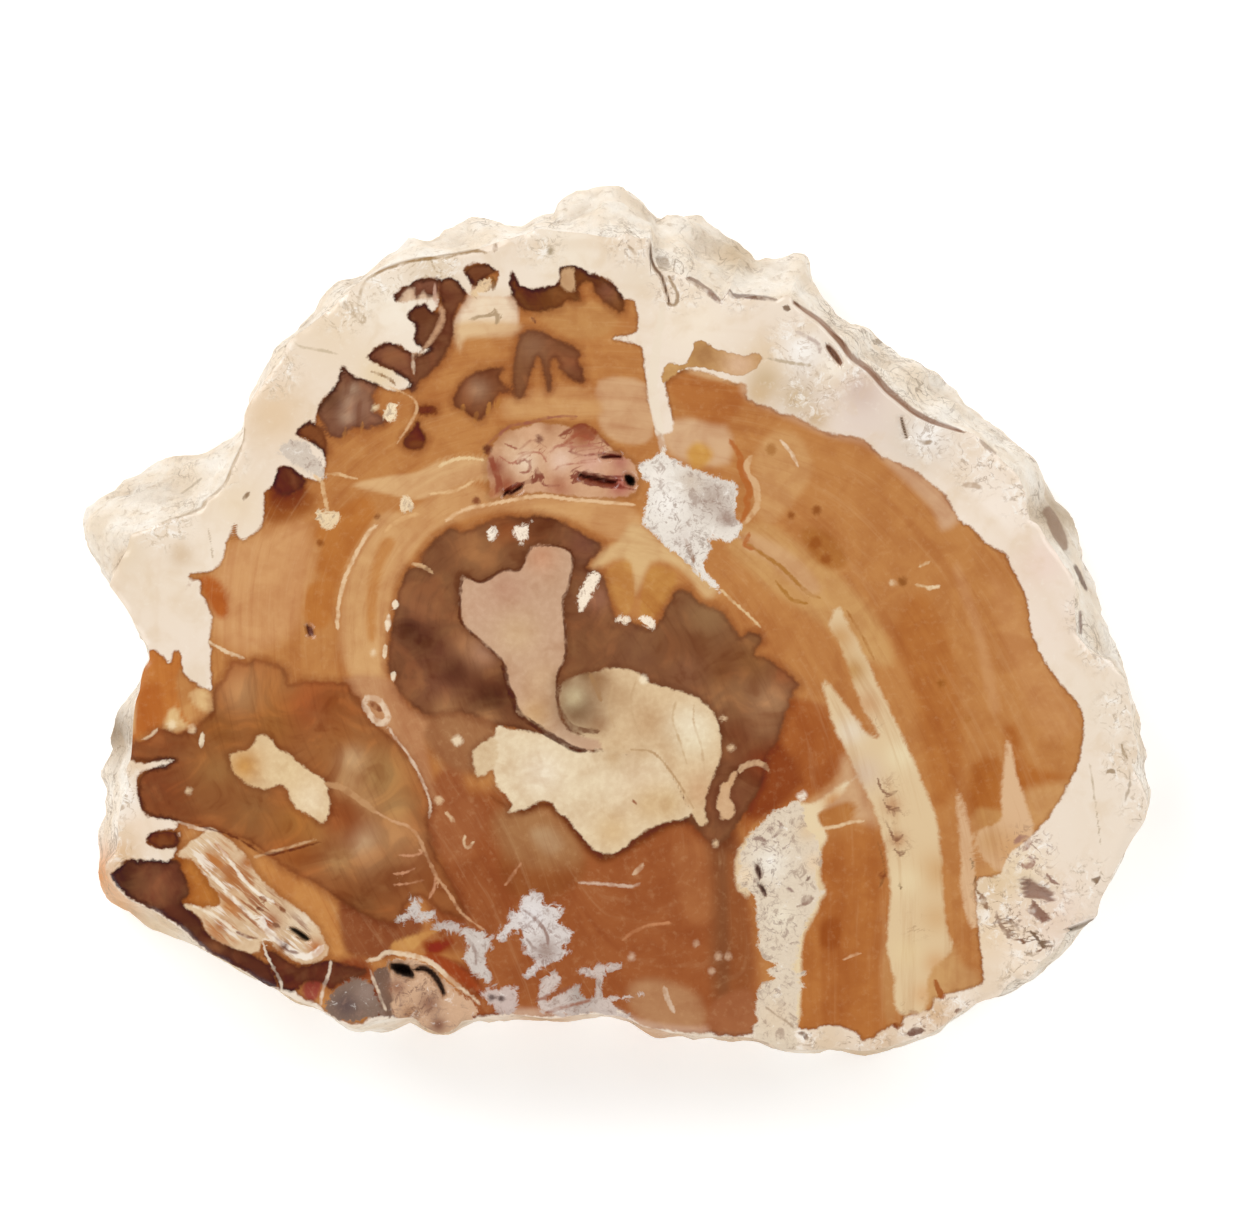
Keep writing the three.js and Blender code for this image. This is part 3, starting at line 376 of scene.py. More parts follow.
# Smoky chalcedony: colour and outline.
SMOKY = [
    # ring round the centre and its right-hand arm
    ("#7a4c30", [(-21.1, 7.4), (-19, 9.6), (-17.6, 10.3), (-16.6, 9.8), (-12.6, 11.4), (-9.4, 11.4),
        (-8.6, 11.6), (-6, 11), (-2, 8.8), (-1.3, 8), (-3, 5.8), (-1.2, 5), (0.2, 0.4), (2, -0.2),
        (4.6, -0.9), (6.8, 3), (8.4, 3.2), (9.4, 2), (12, 1), (14, -1.8), (15, -1.4), (16.2, -1.6),
        (16.5, -2.4), (15.7, -3.8), (17.6, -4.6), (20.6, -7), (20, -8), (19, -11), (18, -14), (17.2, -14.6),
        (16.6, -18), (14.2, -22), (11.6, -25), (8, -22), (4, -19), (-4, -16), (-9.6, -12.4), (-13, -11.6),
        (-17, -10.2), (-21, -10.4), (-24, -7.6), (-24, -6), (-24.9, -5.8), (-24.9, -3), (-24.2, 1),
        (-23.6, 4), (-22.4, 5.9), (-20.4, 5.4), (-21.3, 6.2)]),
    # lower left
    ("#93572f", [(-44.4, -8), (-42.8, -5.8), (-42.4, -4.6), (-40.6, -4.8), (-39.6, -4.4), (-36.6, -5.4),
        (-36, -7.2), (-34.6, -6.9), (-29.8, -7), (-29, -8.2), (-28.2, -8.8), (-27.2, -10.8), (-25, -12.8),
        (-22.4, -15.6), (-20.2, -20.2), (-20.6, -22), (-20.2, -24.6), (-19.2, -27), (-17.4, -30.4),
        (-16.4, -33), (-19, -32.4), (-21.4, -30.6), (-23.2, -31.8), (-24, -33.6), (-27, -33), (-30, -31.4),
        (-33, -29.2), (-36.4, -27.6), (-40, -24.8), (-42, -24), (-46, -22.8), (-48.4, -22.4), (-51.8, -21.6),
        (-52.8, -19), (-52, -16.8), (-48.6, -15.6), (-53.2, -15.6), (-53.2, -13.7), (-52.4, -13.6),
        (-51.4, -13), (-51, -12.4), (-49.4, -12.2), (-48.4, -12.8), (-47.6, -12.4), (-46.6, -12.4),
        (-46, -11.4), (-44.4, -10)]),
    # dark pool along the lower left edge, and the small islet above it
    ("#572c1e", [(-55.9, -28.5), (-53.4, -26.5), (-52.4, -27), (-52.2, -26.5), (-48.4, -26.8), (-47.9, -28),
        (-47.2, -29.4), (-47.2, -30.6), (-47.8, -31.4), (-46, -33), (-45.4, -34.4), (-43.6, -35.8),
        (-41.4, -36.6), (-38.2, -38.4), (-37.3, -40.9), (-38.5, -40.5), (-42, -38.3), (-45.2, -36.7),
        (-48, -34.1), (-51, -32.1), (-53.6, -30.9)]),
    ("#6f3316", [(-51.9, -24.2), (-51, -23.6), (-48.6, -23.6), (-48.3, -25), (-50.4, -25.4)]),
    # maroon at the bottom left
    ("#5c2a1c", [(-38.6, -36.4), (-36, -38), (-34.6, -38.5), (-31.6, -37.8), (-29.6, -38.4), (-27.4, -38.8),
        (-28, -39.6), (-30, -40.2), (-31.2, -41), (-32.6, -40.2), (-34.4, -40.4), (-35.4, -41.4),
        (-36.8, -41.2), (-37.4, -39.8)]),
    # patches of the upper left
    ("#7b4f3a", [(-31.2, 26), (-31.8, 24.8), (-32.8, 23.2), (-31.2, 20.4), (-29.8, 20.4), (-29.2, 21.4),
        (-27.2, 21.2), (-26.8, 21.6), (-25.8, 21.6), (-25.2, 22.2), (-26.6, 23.2), (-26.6, 24.2),
        (-26.8, 25), (-26, 26.2), (-28.6, 27), (-30.1, 28.2), (-30.8, 26.2)]),
    ("#7c4626", [(-33.8, 22.2), (-31.9, 20.4), (-32, 17.9), (-32.8, 18), (-33.8, 20.1), (-35.3, 20.6)]),
    ("#5c2618", [(-37.6, 14.6), (-37.7, 16), (-36.4, 17.2), (-34.1, 15.4), (-36.2, 13.8)]),
    ("#6b2e12", [(-21.6, 22.2), (-21.5, 21.4), (-20.7, 20), (-21.6, 18.9), (-23.2, 19.3), (-23.2, 20.4),
        (-22.6, 20.8)]),
    ("#7a3a18", [(-21.6, 23.8), (-19.8, 23.6), (-19.6, 23.1), (-20.6, 22.8), (-21.6, 23)]),
    ("#70432c", [(-22.9, 33.9), (-22, 34.9), (-20.8, 35.1), (-20, 34.2), (-19.2, 33.8), (-21.3, 30.1),
        (-22.2, 31.2), (-21.9, 32.4)]),
    ("#73432f", [(-27.4, 29.2), (-24.9, 30.9), (-23.5, 30.2), (-22.2, 29.6), (-22.4, 28), (-21.8, 26.2),
        (-22.4, 25.4), (-24.5, 27.8)]),
    ("#6e3d28", [(-19.3, 37.9), (-17.6, 38.2), (-16.3, 36.2), (-17.2, 34.8), (-17.8, 33), (-17.9, 31),
        (-19.4, 28.4), (-21.6, 26.4), (-22, 25.4), (-22.2, 29.2), (-21.2, 29.5), (-19, 32.4), (-18.6, 34.2),
        (-19.2, 35.4)]),
    ("#7a4c38", [(-24.6, 35.5), (-23.4, 37), (-21.8, 37.8), (-19.4, 37.9), (-19.4, 36.6), (-20.4, 35.9),
        (-21.2, 36.6), (-21.8, 35.8), (-22, 36.8), (-23, 36.7), (-23.6, 35.7)]),
    ("#74442a", [(-16.5, 38.8), (-14.2, 39.6), (-13, 38.8), (-14.5, 37.8), (-15.4, 37)]),
    ("#7a472b", [(-17.8, 24.2), (-16, 27.2), (-12.2, 28.1), (-12.6, 27.2), (-12.3, 26.2), (-10, 24.8),
        (-12.6, 25.2), (-14.6, 22.2), (-16.4, 23.2)]),
    ("#70401f", [(-11.3, 38.9), (-10.2, 37.2), (-8.2, 36.9), (-5.9, 37.6), (-5.9, 39.1), (-4.2, 39.3),
        (-2.5, 38.6), (0.4, 37), (1.3, 34.8), (0.6, 34.2), (-1.9, 36.3), (-2.2, 37.4), (-3.2, 37.6),
        (-4, 36.6), (-3.6, 35.4), (-5.2, 35.5), (-6.2, 34.6), (-9.8, 34.4), (-11.4, 36.5)]),
    ("#7c4c30", [(-8.2, 32.1), (-6.4, 31.2), (-3.8, 30), (-3.9, 28.8), (-3.3, 27.6), (-3.4, 26.4),
        (-5.6, 27.4), (-6.2, 29), (-7, 28.6), (-6.8, 26.6), (-7.2, 25.4), (-8, 28.8), (-8.6, 29),
        (-10, 24.8), (-11.2, 26), (-10.4, 31.6)]),
]

# Lighter and darker clouds within the smoky chalcedony: colour, centre and radius.
SMOKY_CLOUDS = [
    ("#94643f", (-15, 7.4), 2.4), ("#7a3f20", (-12, 10.2), 1.8), ("#6d3c22", (-8, 10.4), 2.2),
    ("#6b4030", (-3, 8.6), 2.4), ("#8a5a3c", (-22, 0), 2.8), ("#6c3d2a", (-19.6, -3.8), 2.6),
    ("#a3724e", (-15.8, -3.4), 2.2), ("#683a26", (-14, -8.6), 3.2), ("#7a4a34", (-19, -7.4), 2.6),
    ("#94624a", (-1.6, 2.6), 1.6), ("#7c5036", (3, -3.4), 3), ("#916a46", (10.4, 0.4), 2.6),
    ("#7c4d2f", (7.6, -3.4), 2.6), ("#85552f", (15, -5), 2.6), ("#8c5f3f", (12.5, -8), 3),
    ("#774728", (12, -5.6), 1.8), ("#82492a", (18.8, -6.2), 1.4), ("#a47854", (17.4, -9.2), 2.2),
    ("#7a462a", (14, -12.6), 1.8), ("#996b49", (16.4, -11.4), 1.6), ("#7c3a1e", (16.6, -16), 2.2),
    ("#7e4a30", (12.6, -20), 2.4), ("#84563a", (8, -5.8), 2), ("#7c4226", (-50.6, -18.5), 3.2),
    ("#7a4022", (-47.4, -20.6), 3.2), ("#7f4424", (-49.4, -14.4), 2.6), ("#9a6a3c", (-44, -17), 2.6),
    ("#8c5428", (-43.4, -12), 3), ("#b08055", (-41, -8), 2.4), ("#a26a3c", (-37.6, -7.4), 2.4),
    ("#99602f", (-37.4, -11.4), 3), ("#96502a", (-33.4, -9.8), 2.8), ("#8a4a22", (-30.6, -9.6), 1.8),
    ("#985e34", (-33, -15), 2.6), ("#9c5f30", (-29.6, -14.6), 3), ("#a57a4a", (-25.6, -17.4), 3),
    ("#c29a70", (-29, -15.6), 1.5), ("#b98d60", (-29.4, -18), 1.5), ("#b48658", (-27.6, -20.2), 1.5),
    ("#a57a4c", (-24.2, -21), 1.8), ("#c4a07a", (-27.8, -24.6), 2), ("#b58a60", (-26.4, -27.4), 1.8),
    ("#b08458", (-24, -24.8), 2.4), ("#ad8052", (-30.4, -26.6), 1.8), ("#8a4a28", (-31, -22.8), 1.3),
    ("#b07a42", (-33.4, -23.4), 1.5), ("#5c3020", (-21, -2.4), 1.8), ("#5a3020", (-17.6, -5.8), 1.8),
    ("#512919", (-13.4, -8.8), 2.2), ("#a3765a", (-14.4, -3.6), 1.4), ("#542c1e", (-22.6, -1), 1.8),
    ("#8a5830", (-40.4, -21.4), 3), ("#8d5730", (-44.4, -20), 2.4), ("#9e6632", (-35.4, -22.8), 2.6),
    ("#9a582f", (-30.4, -22), 2.4), ("#9a5a2c", (-35.6, -26), 2.2), ("#a26b43", (-22.6, -26), 2.2),
    ("#874f2c", (-25.4, -29), 3), ("#7c4826", (-28, -32), 2.8), ("#a3734c", (-18.5, -10.6), 2),
    ("#a3734c", (-14, -11.4), 1.6), ("#3f1c14", (-53.6, -28.6), 2), ("#75402c", (-50.6, -29.4), 2.2),
    ("#6a3a26", (-44.6, -36), 1.8), ("#a8876f", (-29.6, 22.6), 0.9), ("#ae8c74", (-29.4, 24.2), 0.9),
    ("#8d6450", (-27.6, 24), 1.6), ("#5a3326", (-31.4, 24.6), 1.2), ("#a08068", (-28.9, 25.7), 0.7),
    ("#9c7458", (-15, 25.6), 1.2), ("#7d4b33", (-24.6, 29.4), 1.6), ("#8a5f44", (-9, 30.4), 1.6),
    ("#7c472e", (-4.6, 28.4), 1.4), ("#7a4a34", (-0.6, 36.6), 1.4), ("#5f2c12", (-9.6, 36), 1.8),
]

# Fossil wood, which has kept its grain, set in rusty halos: colour and outline.
FOSSIL = [
    # pinkish tan plate left of the centre
    ("#cba688", [(-16.6, 4.9), (-14.6, 4.1), (-12.2, 5.6), (-10.3, 5.5), (-9, 8.2), (-6, 8.1), (-4.4, 6.8),
        (-5.1, 3), (-5.6, 2), (-5.3, -0.8), (-5.2, -3.8), (-6.2, -6.2), (-6.1, -8), (-5.8, -11), (-4, -12.8),
        (-2, -12.8), (1.8, -14.3), (1.2, -14.6), (0, -14.1), (-3.4, -14.4), (-6.4, -13.2), (-8.6, -11.6),
        (-10.6, -10.2), (-10.8, -8.4), (-11.9, -6.6), (-12.2, -4.6), (-14, -3), (-14.6, -2.2), (-16.4, -0.8),
        (-17, 1.6), (-16.9, 4.6)]),
    # ribbed cream piece right of it
    ("#dec29a", [(-5.9, -9.6), (-5.6, -7), (-3.4, -6), (-2.6, -6), (0, -5.3), (2.6, -5.8), (3.8, -6.8),
        (5.4, -7.4), (8, -8.1), (10.4, -9.4), (11.7, -11.6), (12, -14.6), (11.7, -16), (10.2, -20),
        (10.4, -22.6), (9.6, -22.8), (8.4, -21), (7.2, -18.4), (5, -15.2), (3, -15), (0, -14.8),
        (-2.4, -13.6), (-3.6, -12.6), (-4.8, -12.2)]),
    # smooth cream piece below them
    ("#e8d4b2", [(-13, -12), (-11.4, -12.1), (-7.6, -12.8), (-4, -14.6), (0, -14.4), (1.4, -14.8),
        (3, -14.4), (5.2, -14.8), (7.2, -18.4), (8, -20.2), (9, -21.2), (7.4, -22.3), (6.2, -22.3),
        (2.6, -24), (0.8, -25.6), (-2, -25.6), (-5, -22), (-5.8, -21.6), (-7.4, -20), (-9.8, -21),
        (-11.6, -21.4), (-11.2, -20.6), (-12, -19.4), (-12.8, -18.6), (-13.4, -16.2), (-13, -15)]),
    ("#dcc29c", [(-15.6, -15), (-15, -14), (-12.8, -13), (-12.8, -15.8), (-15, -17.4)]),
    # curl and hook at its right
    ("#d4ae86", [(13.8, -17), (13.2, -16.9), (12.8, -17.8), (12, -18.4), (11.5, -20.6), (12, -21.3),
        (12, -22.2), (13.4, -21.9), (13.6, -20.9), (13, -20), (13, -19)]),
    # cream-yellow blob of the lower left
    ("#e0c398", [(-42.6, -15), (-41, -14.6), (-40, -14), (-39.6, -13), (-38.8, -12.7), (-38, -13.2),
        (-37.4, -14.2), (-36.2, -14.8), (-34, -16.6), (-32, -18), (-31.5, -20.4), (-31.8, -22),
        (-32.4, -22.6), (-33.4, -21.8), (-34.8, -21.2), (-35.8, -20), (-36.4, -18.4), (-37.4, -18.3),
        (-38.8, -18.8), (-41.6, -17.6)]),
    # fibrous wedge of the lower left, with its amber islets drawn among the clouds
    ("#dfc39f", [(-48.4, -26.1), (-45, -23.3), (-44, -23.4), (-41, -26), (-39.6, -28.2), (-37.4, -30.4),
        (-36, -31.4), (-33.8, -33), (-32.2, -35.2), (-31.8, -37.4), (-34.6, -38.1), (-37.4, -36.6),
        (-38.2, -35.6), (-39.2, -36), (-39.4, -37), (-41, -36.8), (-44, -35.6), (-45.2, -34.5),
        (-45.8, -33.2), (-47.8, -31.5), (-45.6, -31.9), (-43.6, -31.6), (-44.4, -29.8), (-46.6, -26.8)]),
    # tan patch above the first edge of the heartwood, right of the white vein
    ("#c79a62", [(5.6, 26.4), (6, 28.6), (7.8, 28.4), (8.6, 29.4), (9.3, 31.2), (11.4, 30.2), (14.4, 29.4),
        (15.8, 29.7), (16.6, 29), (15.4, 27.6), (13.4, 27.2), (8.6, 28.2)]),
    # tan tab in the dark edge at the top
    ("#c9a27a", [(-5.7, 37), (-5.7, 38.8), (-4.4, 39), (-4.2, 37.4), (-4.4, 36.5)]),
    # pink band above the centre
    ("#d3a681", [(-12.4, 20.8), (-10, 21.3), (-8, 21.9), (-4.6, 21.4), (-3.2, 21.6), (-2.4, 20.8),
        (-1.2, 20.2), (0, 18.8), (2.4, 17.2), (2.4, 14.2), (-1, 13.6), (-4, 13.8), (-8, 14.2), (-12, 13.9),
        (-13.6, 13.5), (-13.6, 14.6), (-14, 17.6)]),
]

# Tints of the fossil wood: colour, centre and radius.
FOSSIL_CLOUDS = [
    ("#cf9d7c", (-8, 7), 1.8), ("#c2967a", (-12, 3.4), 2.4), ("#d3b18c", (-10.6, -1.6), 2.4),
    ("#d0ac88", (-8, -6.6), 2.2), ("#d2ab7e", (-8.6, -10.4), 1.8), ("#cfa98c", (-15.2, 1.6), 1.6),
    ("#e6cfaa", (9.4, -12.4), 2.4), ("#d2ab82", (9.6, -19), 2), ("#c8a67e", (0.6, -8.6), 2),
    ("#c9a57c", (4, -11.6), 2.2), ("#b28c66", (-1.8, -7.6), 1.7), ("#b08a66", (-1.6, -11.4), 1.3),
    ("#8f6a4a", (-5.4, -7), 1.2), ("#84603f", (-3, -6), 1.4), ("#bda07e", (-3.8, -9.2), 2),
    ("#eadbba", (8.8, -12.6), 2.2), ("#e8d3b0", (-8.4, -16), 3), ("#dcbd90", (0, -23.4), 2.4),
    ("#e4ccaa", (3, -18.4), 3), ("#d9bb8e", (6, -20.4), 2), ("#cf9a58", (-41, -16.2), 1.9),
    ("#ecd6b2", (-33.4, -20), 2), ("#e6cca0", (-36.6, -16.6), 1.8), ("#bb7c46", (-44.4, -26.8), 1.4),
    ("#b9783f", (-42.4, -28.8), 1.2), ("#c88c54", (-42.6, -31.6), 1.1), ("#ad6a38", (-43.6, -34), 0.9),
    ("#b4713c", (-40.6, -27), 0.9), ("#a15a30", (-38.2, -33.6), 1.2), ("#9d6236", (-36.6, -36.4), 1),
    ("#e9d6bc", (-34.4, -33.2), 1.2), ("#c07a48", (-33, -36.4), 0.9), ("#b08152", (10, 29.6), 1.6),
    ("#dcb794", (14, 28.4), 2), ("#d9b287", (12.6, -18), 0.8), ("#deaf98", (-2.4, 17.6), 1.6),
    ("#a3603f", (-3.4, 20.4), 1.5), ("#9c5a44", (-13, 17), 1.2), ("#b47c52", (-12.8, 20.8), 1.4),
    ("#b07a56", (-7.2, 21.6), 1.1), ("#bf8466", (-6, 14.8), 1.5), ("#b8784e", (-13.6, 14), 1),
    ("#a35c40", (-11.8, 15), 1.2), ("#e9cdb0", (-9.8, 17.6), 1.4), ("#dcb08c", (-8.6, 20.6), 1),
    ("#b4685a", (0.8, 15), 1.4), ("#e2bf9c", (-11.2, 19.2), 1), ("#e6c4ac", (-5.8, 17.8), 1.3),
    ("#b87a66", (0.8, 17.6), 1.1), ("#f1e2c8", (-8, -17), 2.4), ("#efe0c2", (8.4, -11.6), 1.8),
    ("#d9ba8e", (4, -20.6), 2), ("#cfb088", (0, -15.2), 1.4), ("#d6b992", (3.4, -14.6), 1.2),
    ("#7f5c3e", (-4, -9.8), 2.4), ("#c6b28c", (-4.3, -8.6), 1.2), ("#a57f5a", (-1.6, -6.6), 1),
]

# White inclusions, crystalline quartz and chalky patches: colour and outline.
QUARTZ = [
    # crystalline patch right of the centre
    ("#e6dccf", [(3.9, 15), (3, 16), (2.9, 17.2), (5, 18.4), (5.8, 19.4), (6.2, 18.2), (10, 16.4),
        (13.4, 15.4), (13.9, 13), (13.4, 11.2), (14.4, 10.6), (13.2, 8.6), (11, 9), (10.9, 8), (10.2, 5.9),
        (11.9, 3.8), (11.8, 3), (9.4, 5), (8, 6.6), (6.4, 7.6), (4, 10.2), (3.2, 10.6)]),
    # white column at the lower middle
    ("#dccab2", [(21, -20.2), (21.4, -22.8), (23, -24.8), (22.6, -29.4), (23.6, -30), (22, -33), (20.6, -36),
        (20.6, -37.6), (20, -38.4), (20.4, -39.2), (21.6, -39.2), (20.6, -40), (21.6, -40.6), (20.8, -41.4),
        (20.4, -45), (20.4, -48), (16, -48), (15.8, -44), (16.4, -40.6), (17.8, -40), (16.8, -39),
        (18, -38.4), (17.2, -38), (16, -36), (16.2, -35), (15.4, -30.4), (13.8, -29.4), (13.6, -28.4),
        (14.3, -27.4), (14.1, -26), (16.2, -22.6), (19.4, -20.4)]),
    # grey-white patch between the upper left dark ones
    ("#cfbfae", [(-36, 20), (-35, 19.8), (-34, 20), (-32.2, 16.8), (-32.2, 15.6), (-34, 16.4),
        (-37.4, 18.6)]),
    # white grains
    ("#f4e6d2", [(-14.1, 9.8), (-13.8, 10.4), (-13.1, 10.3), (-12.9, 9.6), (-13.7, 8.7)]),
    ("#f2e0ca", [(-11.3, 10.2), (-9.4, 11), (-9.2, 10.4), (-9.9, 8.5), (-11.2, 9.3)]),
    ("#f4e2ca", [(-2.4, 5.3), (-1.4, 5), (-3.2, 1.1), (-3.9, 1.2), (-3.7, 3.4)]),
    ("#f2e0c8", [(2.7, 0.3), (3.4, 0.7), (4.6, 0), (4.4, -1), (3.4, -0.6)]),
    ("#f0dcc2", [(0.3, 0), (1.2, 0.5), (1.9, 0.1), (1.4, -0.5)]),
    ("#e8cda6", [(-23.7, 13.6), (-22.6, 13.8), (-22.1, 13), (-22.6, 12.2), (-23.6, 12.1)]),
    # cream blob and crescent of the upper left
    ("#e6cba2", [(-33.2, 12.1), (-31.6, 12.1), (-30.2, 11.8), (-31, 10.2), (-32.2, 10.2)]),
    ("#f0d9b4", [(-25, 24), (-22.8, 24.1), (-24, 23.4), (-24, 22.8), (-24.6, 21.9), (-25.4, 22.4)]),
    ("#e0c096", [(-15.8, 36.4), (-14.4, 37.8), (-13.6, 38), (-13.8, 36.8), (-15.4, 35.8)]),
    # grey chalcedony at the bottom left
    ("#7d6352", [(-30.4, -40.6), (-27.4, -39.8), (-26.4, -41.6), (-25.2, -43.8), (-26.4, -44),
        (-29.4, -44.8), (-32, -43.2)]),
    ("#cda583", [(-25, -38.6), (-24.2, -37.6), (-22, -37.6), (-20.4, -38.4), (-17.6, -41), (-15.8, -42.2),
        (-15, -44), (-19, -46.2), (-23.6, -44.6), (-24.6, -43.4), (-24.8, -41)]),
    ("#6e4f3c", [(-26.6, -39.4), (-25.8, -38.4), (-24.8, -39), (-24.6, -41.6), (-24.2, -43.6),
        (-25.4, -43.8)]),
]

# Frost-like sprays at the bottom: colour and outline, with edges more ragged than the quartz.
FROST = [
    ("#c9bdb4", [(-24, -33.2), (-23, -32.4), (-22.4, -30.8), (-21.4, -31.2), (-21.2, -32.4), (-20, -32.2),
        (-19.8, -33), (-21, -33.8), (-22.6, -33), (-23, -34)]),
    ("#c0b0a6", [(-20, -33.8), (-17.2, -33.6), (-17, -34.6), (-18, -34.8), (-20, -34.2)]),
    ("#cbbeb4", [(-17, -34.4), (-14.4, -34.6), (-13.4, -36.2), (-14.4, -37.2), (-13.8, -38.4),
        (-13.8, -40.4), (-16.6, -38), (-16.2, -36.4)]),
    ("#d6cbc4", [(-13.6, -35.2), (-12.4, -34.4), (-11.2, -32.4), (-10.4, -32.2), (-10.2, -30.6), (-8, -30.4),
        (-7.6, -31.6), (-5.6, -31.6), (-5.8, -33), (-5.4, -34.2), (-4.4, -34.8), (-5.6, -36.6), (-4.8, -37),
        (-8.8, -39.4), (-9.8, -39.4), (-8.6, -37.6), (-9.8, -37), (-10, -35.6), (-11, -34.6), (-12, -35.6)]),
    ("#c6b0a6", [(-14.2, -41), (-11.4, -40.6), (-10.4, -41.4), (-11.4, -44), (-14.4, -42.2)]),
    ("#cbb9ae", [(-7.8, -40), (-6.8, -39.2), (-5.8, -39.6), (-6, -40.6), (-7.6, -42.4), (-4, -40.6),
        (-3.6, -41.4), (-2.4, -41.8), (-1.6, -39.8), (-3.6, -39.6), (-3.6, -38.8), (0.6, -38.2),
        (0.4, -38.8), (-0.8, -39.2), (-1.2, -41.8), (3, -41.4), (3, -41.8), (0, -42.6), (3, -45), (0, -44.8),
        (-2.4, -43.6), (-6, -44.4), (-8.4, -43)]),
]

# Tints of the quartz: colour, centre and radius.
QUARTZ_CLOUDS = [
    ("#b8a596", (11, 13.6), 2.2), ("#cdbba8", (8.6, 15.4), 1.4), ("#f4ece2", (6, 13), 1.8),
    ("#ded2c6", (8, 9), 1.4), ("#a88f80", (12.6, 11.4), 1), ("#f0e6da", (5, 16), 1.2),
    ("#ece2d2", (17.4, -27), 1.8), ("#e8dac2", (18.6, -33), 1.4), ("#dcc6aa", (18, -44), 2),
    ("#d9bd98", (21.6, -23.4), 1.2), ("#e3c7a4", (22.4, -27), 1), ("#e8cfae", (14.6, -28.4), 1),
    ("#5c4540", (-29.6, -42.8), 1.4), ("#96664a", (-24, -40.8), 1), ("#8f6248", (-20.4, -42.6), 1.2),
    ("#a87852", (-22.6, -43.8), 1), ("#7c4c34", (-19.4, -45), 0.9), ("#90786a", (-27.4, -41.4), 1.2),
    ("#e0d8d4", (-9, -32.6), 1.4), ("#a58f84", (-7.4, -36.8), 1.4), ("#a89a90", (-3.4, -41.6), 1.6),
]

# Rind tints: colour, centre and radius, over the plain cream.
RIND = "#ecdbc8"
RIND_CLOUDS = [
    ("#ead8c2", (-50, 4), 5), ("#e9d4b8", (-42, 13), 4), ("#e2c6a4", (-37.6, 23), 4),
    ("#e8d3b8", (-31, 32), 5), ("#f2e5d2", (-24, 35), 4), ("#decab0", (-20, 39), 3),
    ("#eedfca", (-5, 41), 5), ("#e6d4bd", (3, 38), 3), ("#f1e1cc", (9, 33.6), 4), ("#dccdbd", (20, 26), 5),
    ("#e2d0c2", (28, 22), 5), ("#d8c8b6", (34, 20), 3.4), ("#f3e4d4", (42, 12), 4),
    ("#ead2c2", (47.4, 6), 3), ("#ecdac9", (49, 0), 4), ("#eadac6", (54, -10), 5), ("#ebdbc8", (54, -22), 6),
    ("#e8ceac", (42, -35), 3.4), ("#e6cfbc", (48, -33), 4), ("#efdcc6", (46, -38.4), 3),
    ("#d8bb9c", (30, -46.6), 2.4), ("#dcc4a8", (24, -47), 2.4), ("#d6b28c", (36, -43.6), 2),
    ("#e9cfb2", (-54, -22), 3), ("#d9b58e", (-54.6, -26), 2), ("#e2c7a8", (-53, -16), 2),
    ("#e0cbae", (-55, 8), 3), ("#efdfcb", (-46, 8), 4), ("#d8c0a4", (-48, 7.2), 1.4),
    ("#e6cfae", (45, -28), 3), ("#f6ead8", (24.5, 28), 1.6), ("#d3bcae", (27.6, 25.4), 2.2),
    ("#e4cdb0", (17, 28.6), 3), ("#e2c9a6", (-13.6, 33.4), 3), ("#e4cca8", (-26, 27.4), 2.4),
    ("#dcc09a", (42, -29.4), 2.4), ("#d39a62", (-56.4, -28.8), 1.6), ("#cdb390", (17, 26.6), 1.8),
    ("#ccae88", (16.2, 25.2), 1.3), ("#ccae8a", (22.6, 22.4), 1.3), ("#cdb390", (20.4, 24.6), 1.6),
    ("#f6efe6", (21, 30), 2), ("#f7f0e8", (35, 20.6), 1.8), ("#f6efe6", (-55, -20), 2.4),
]

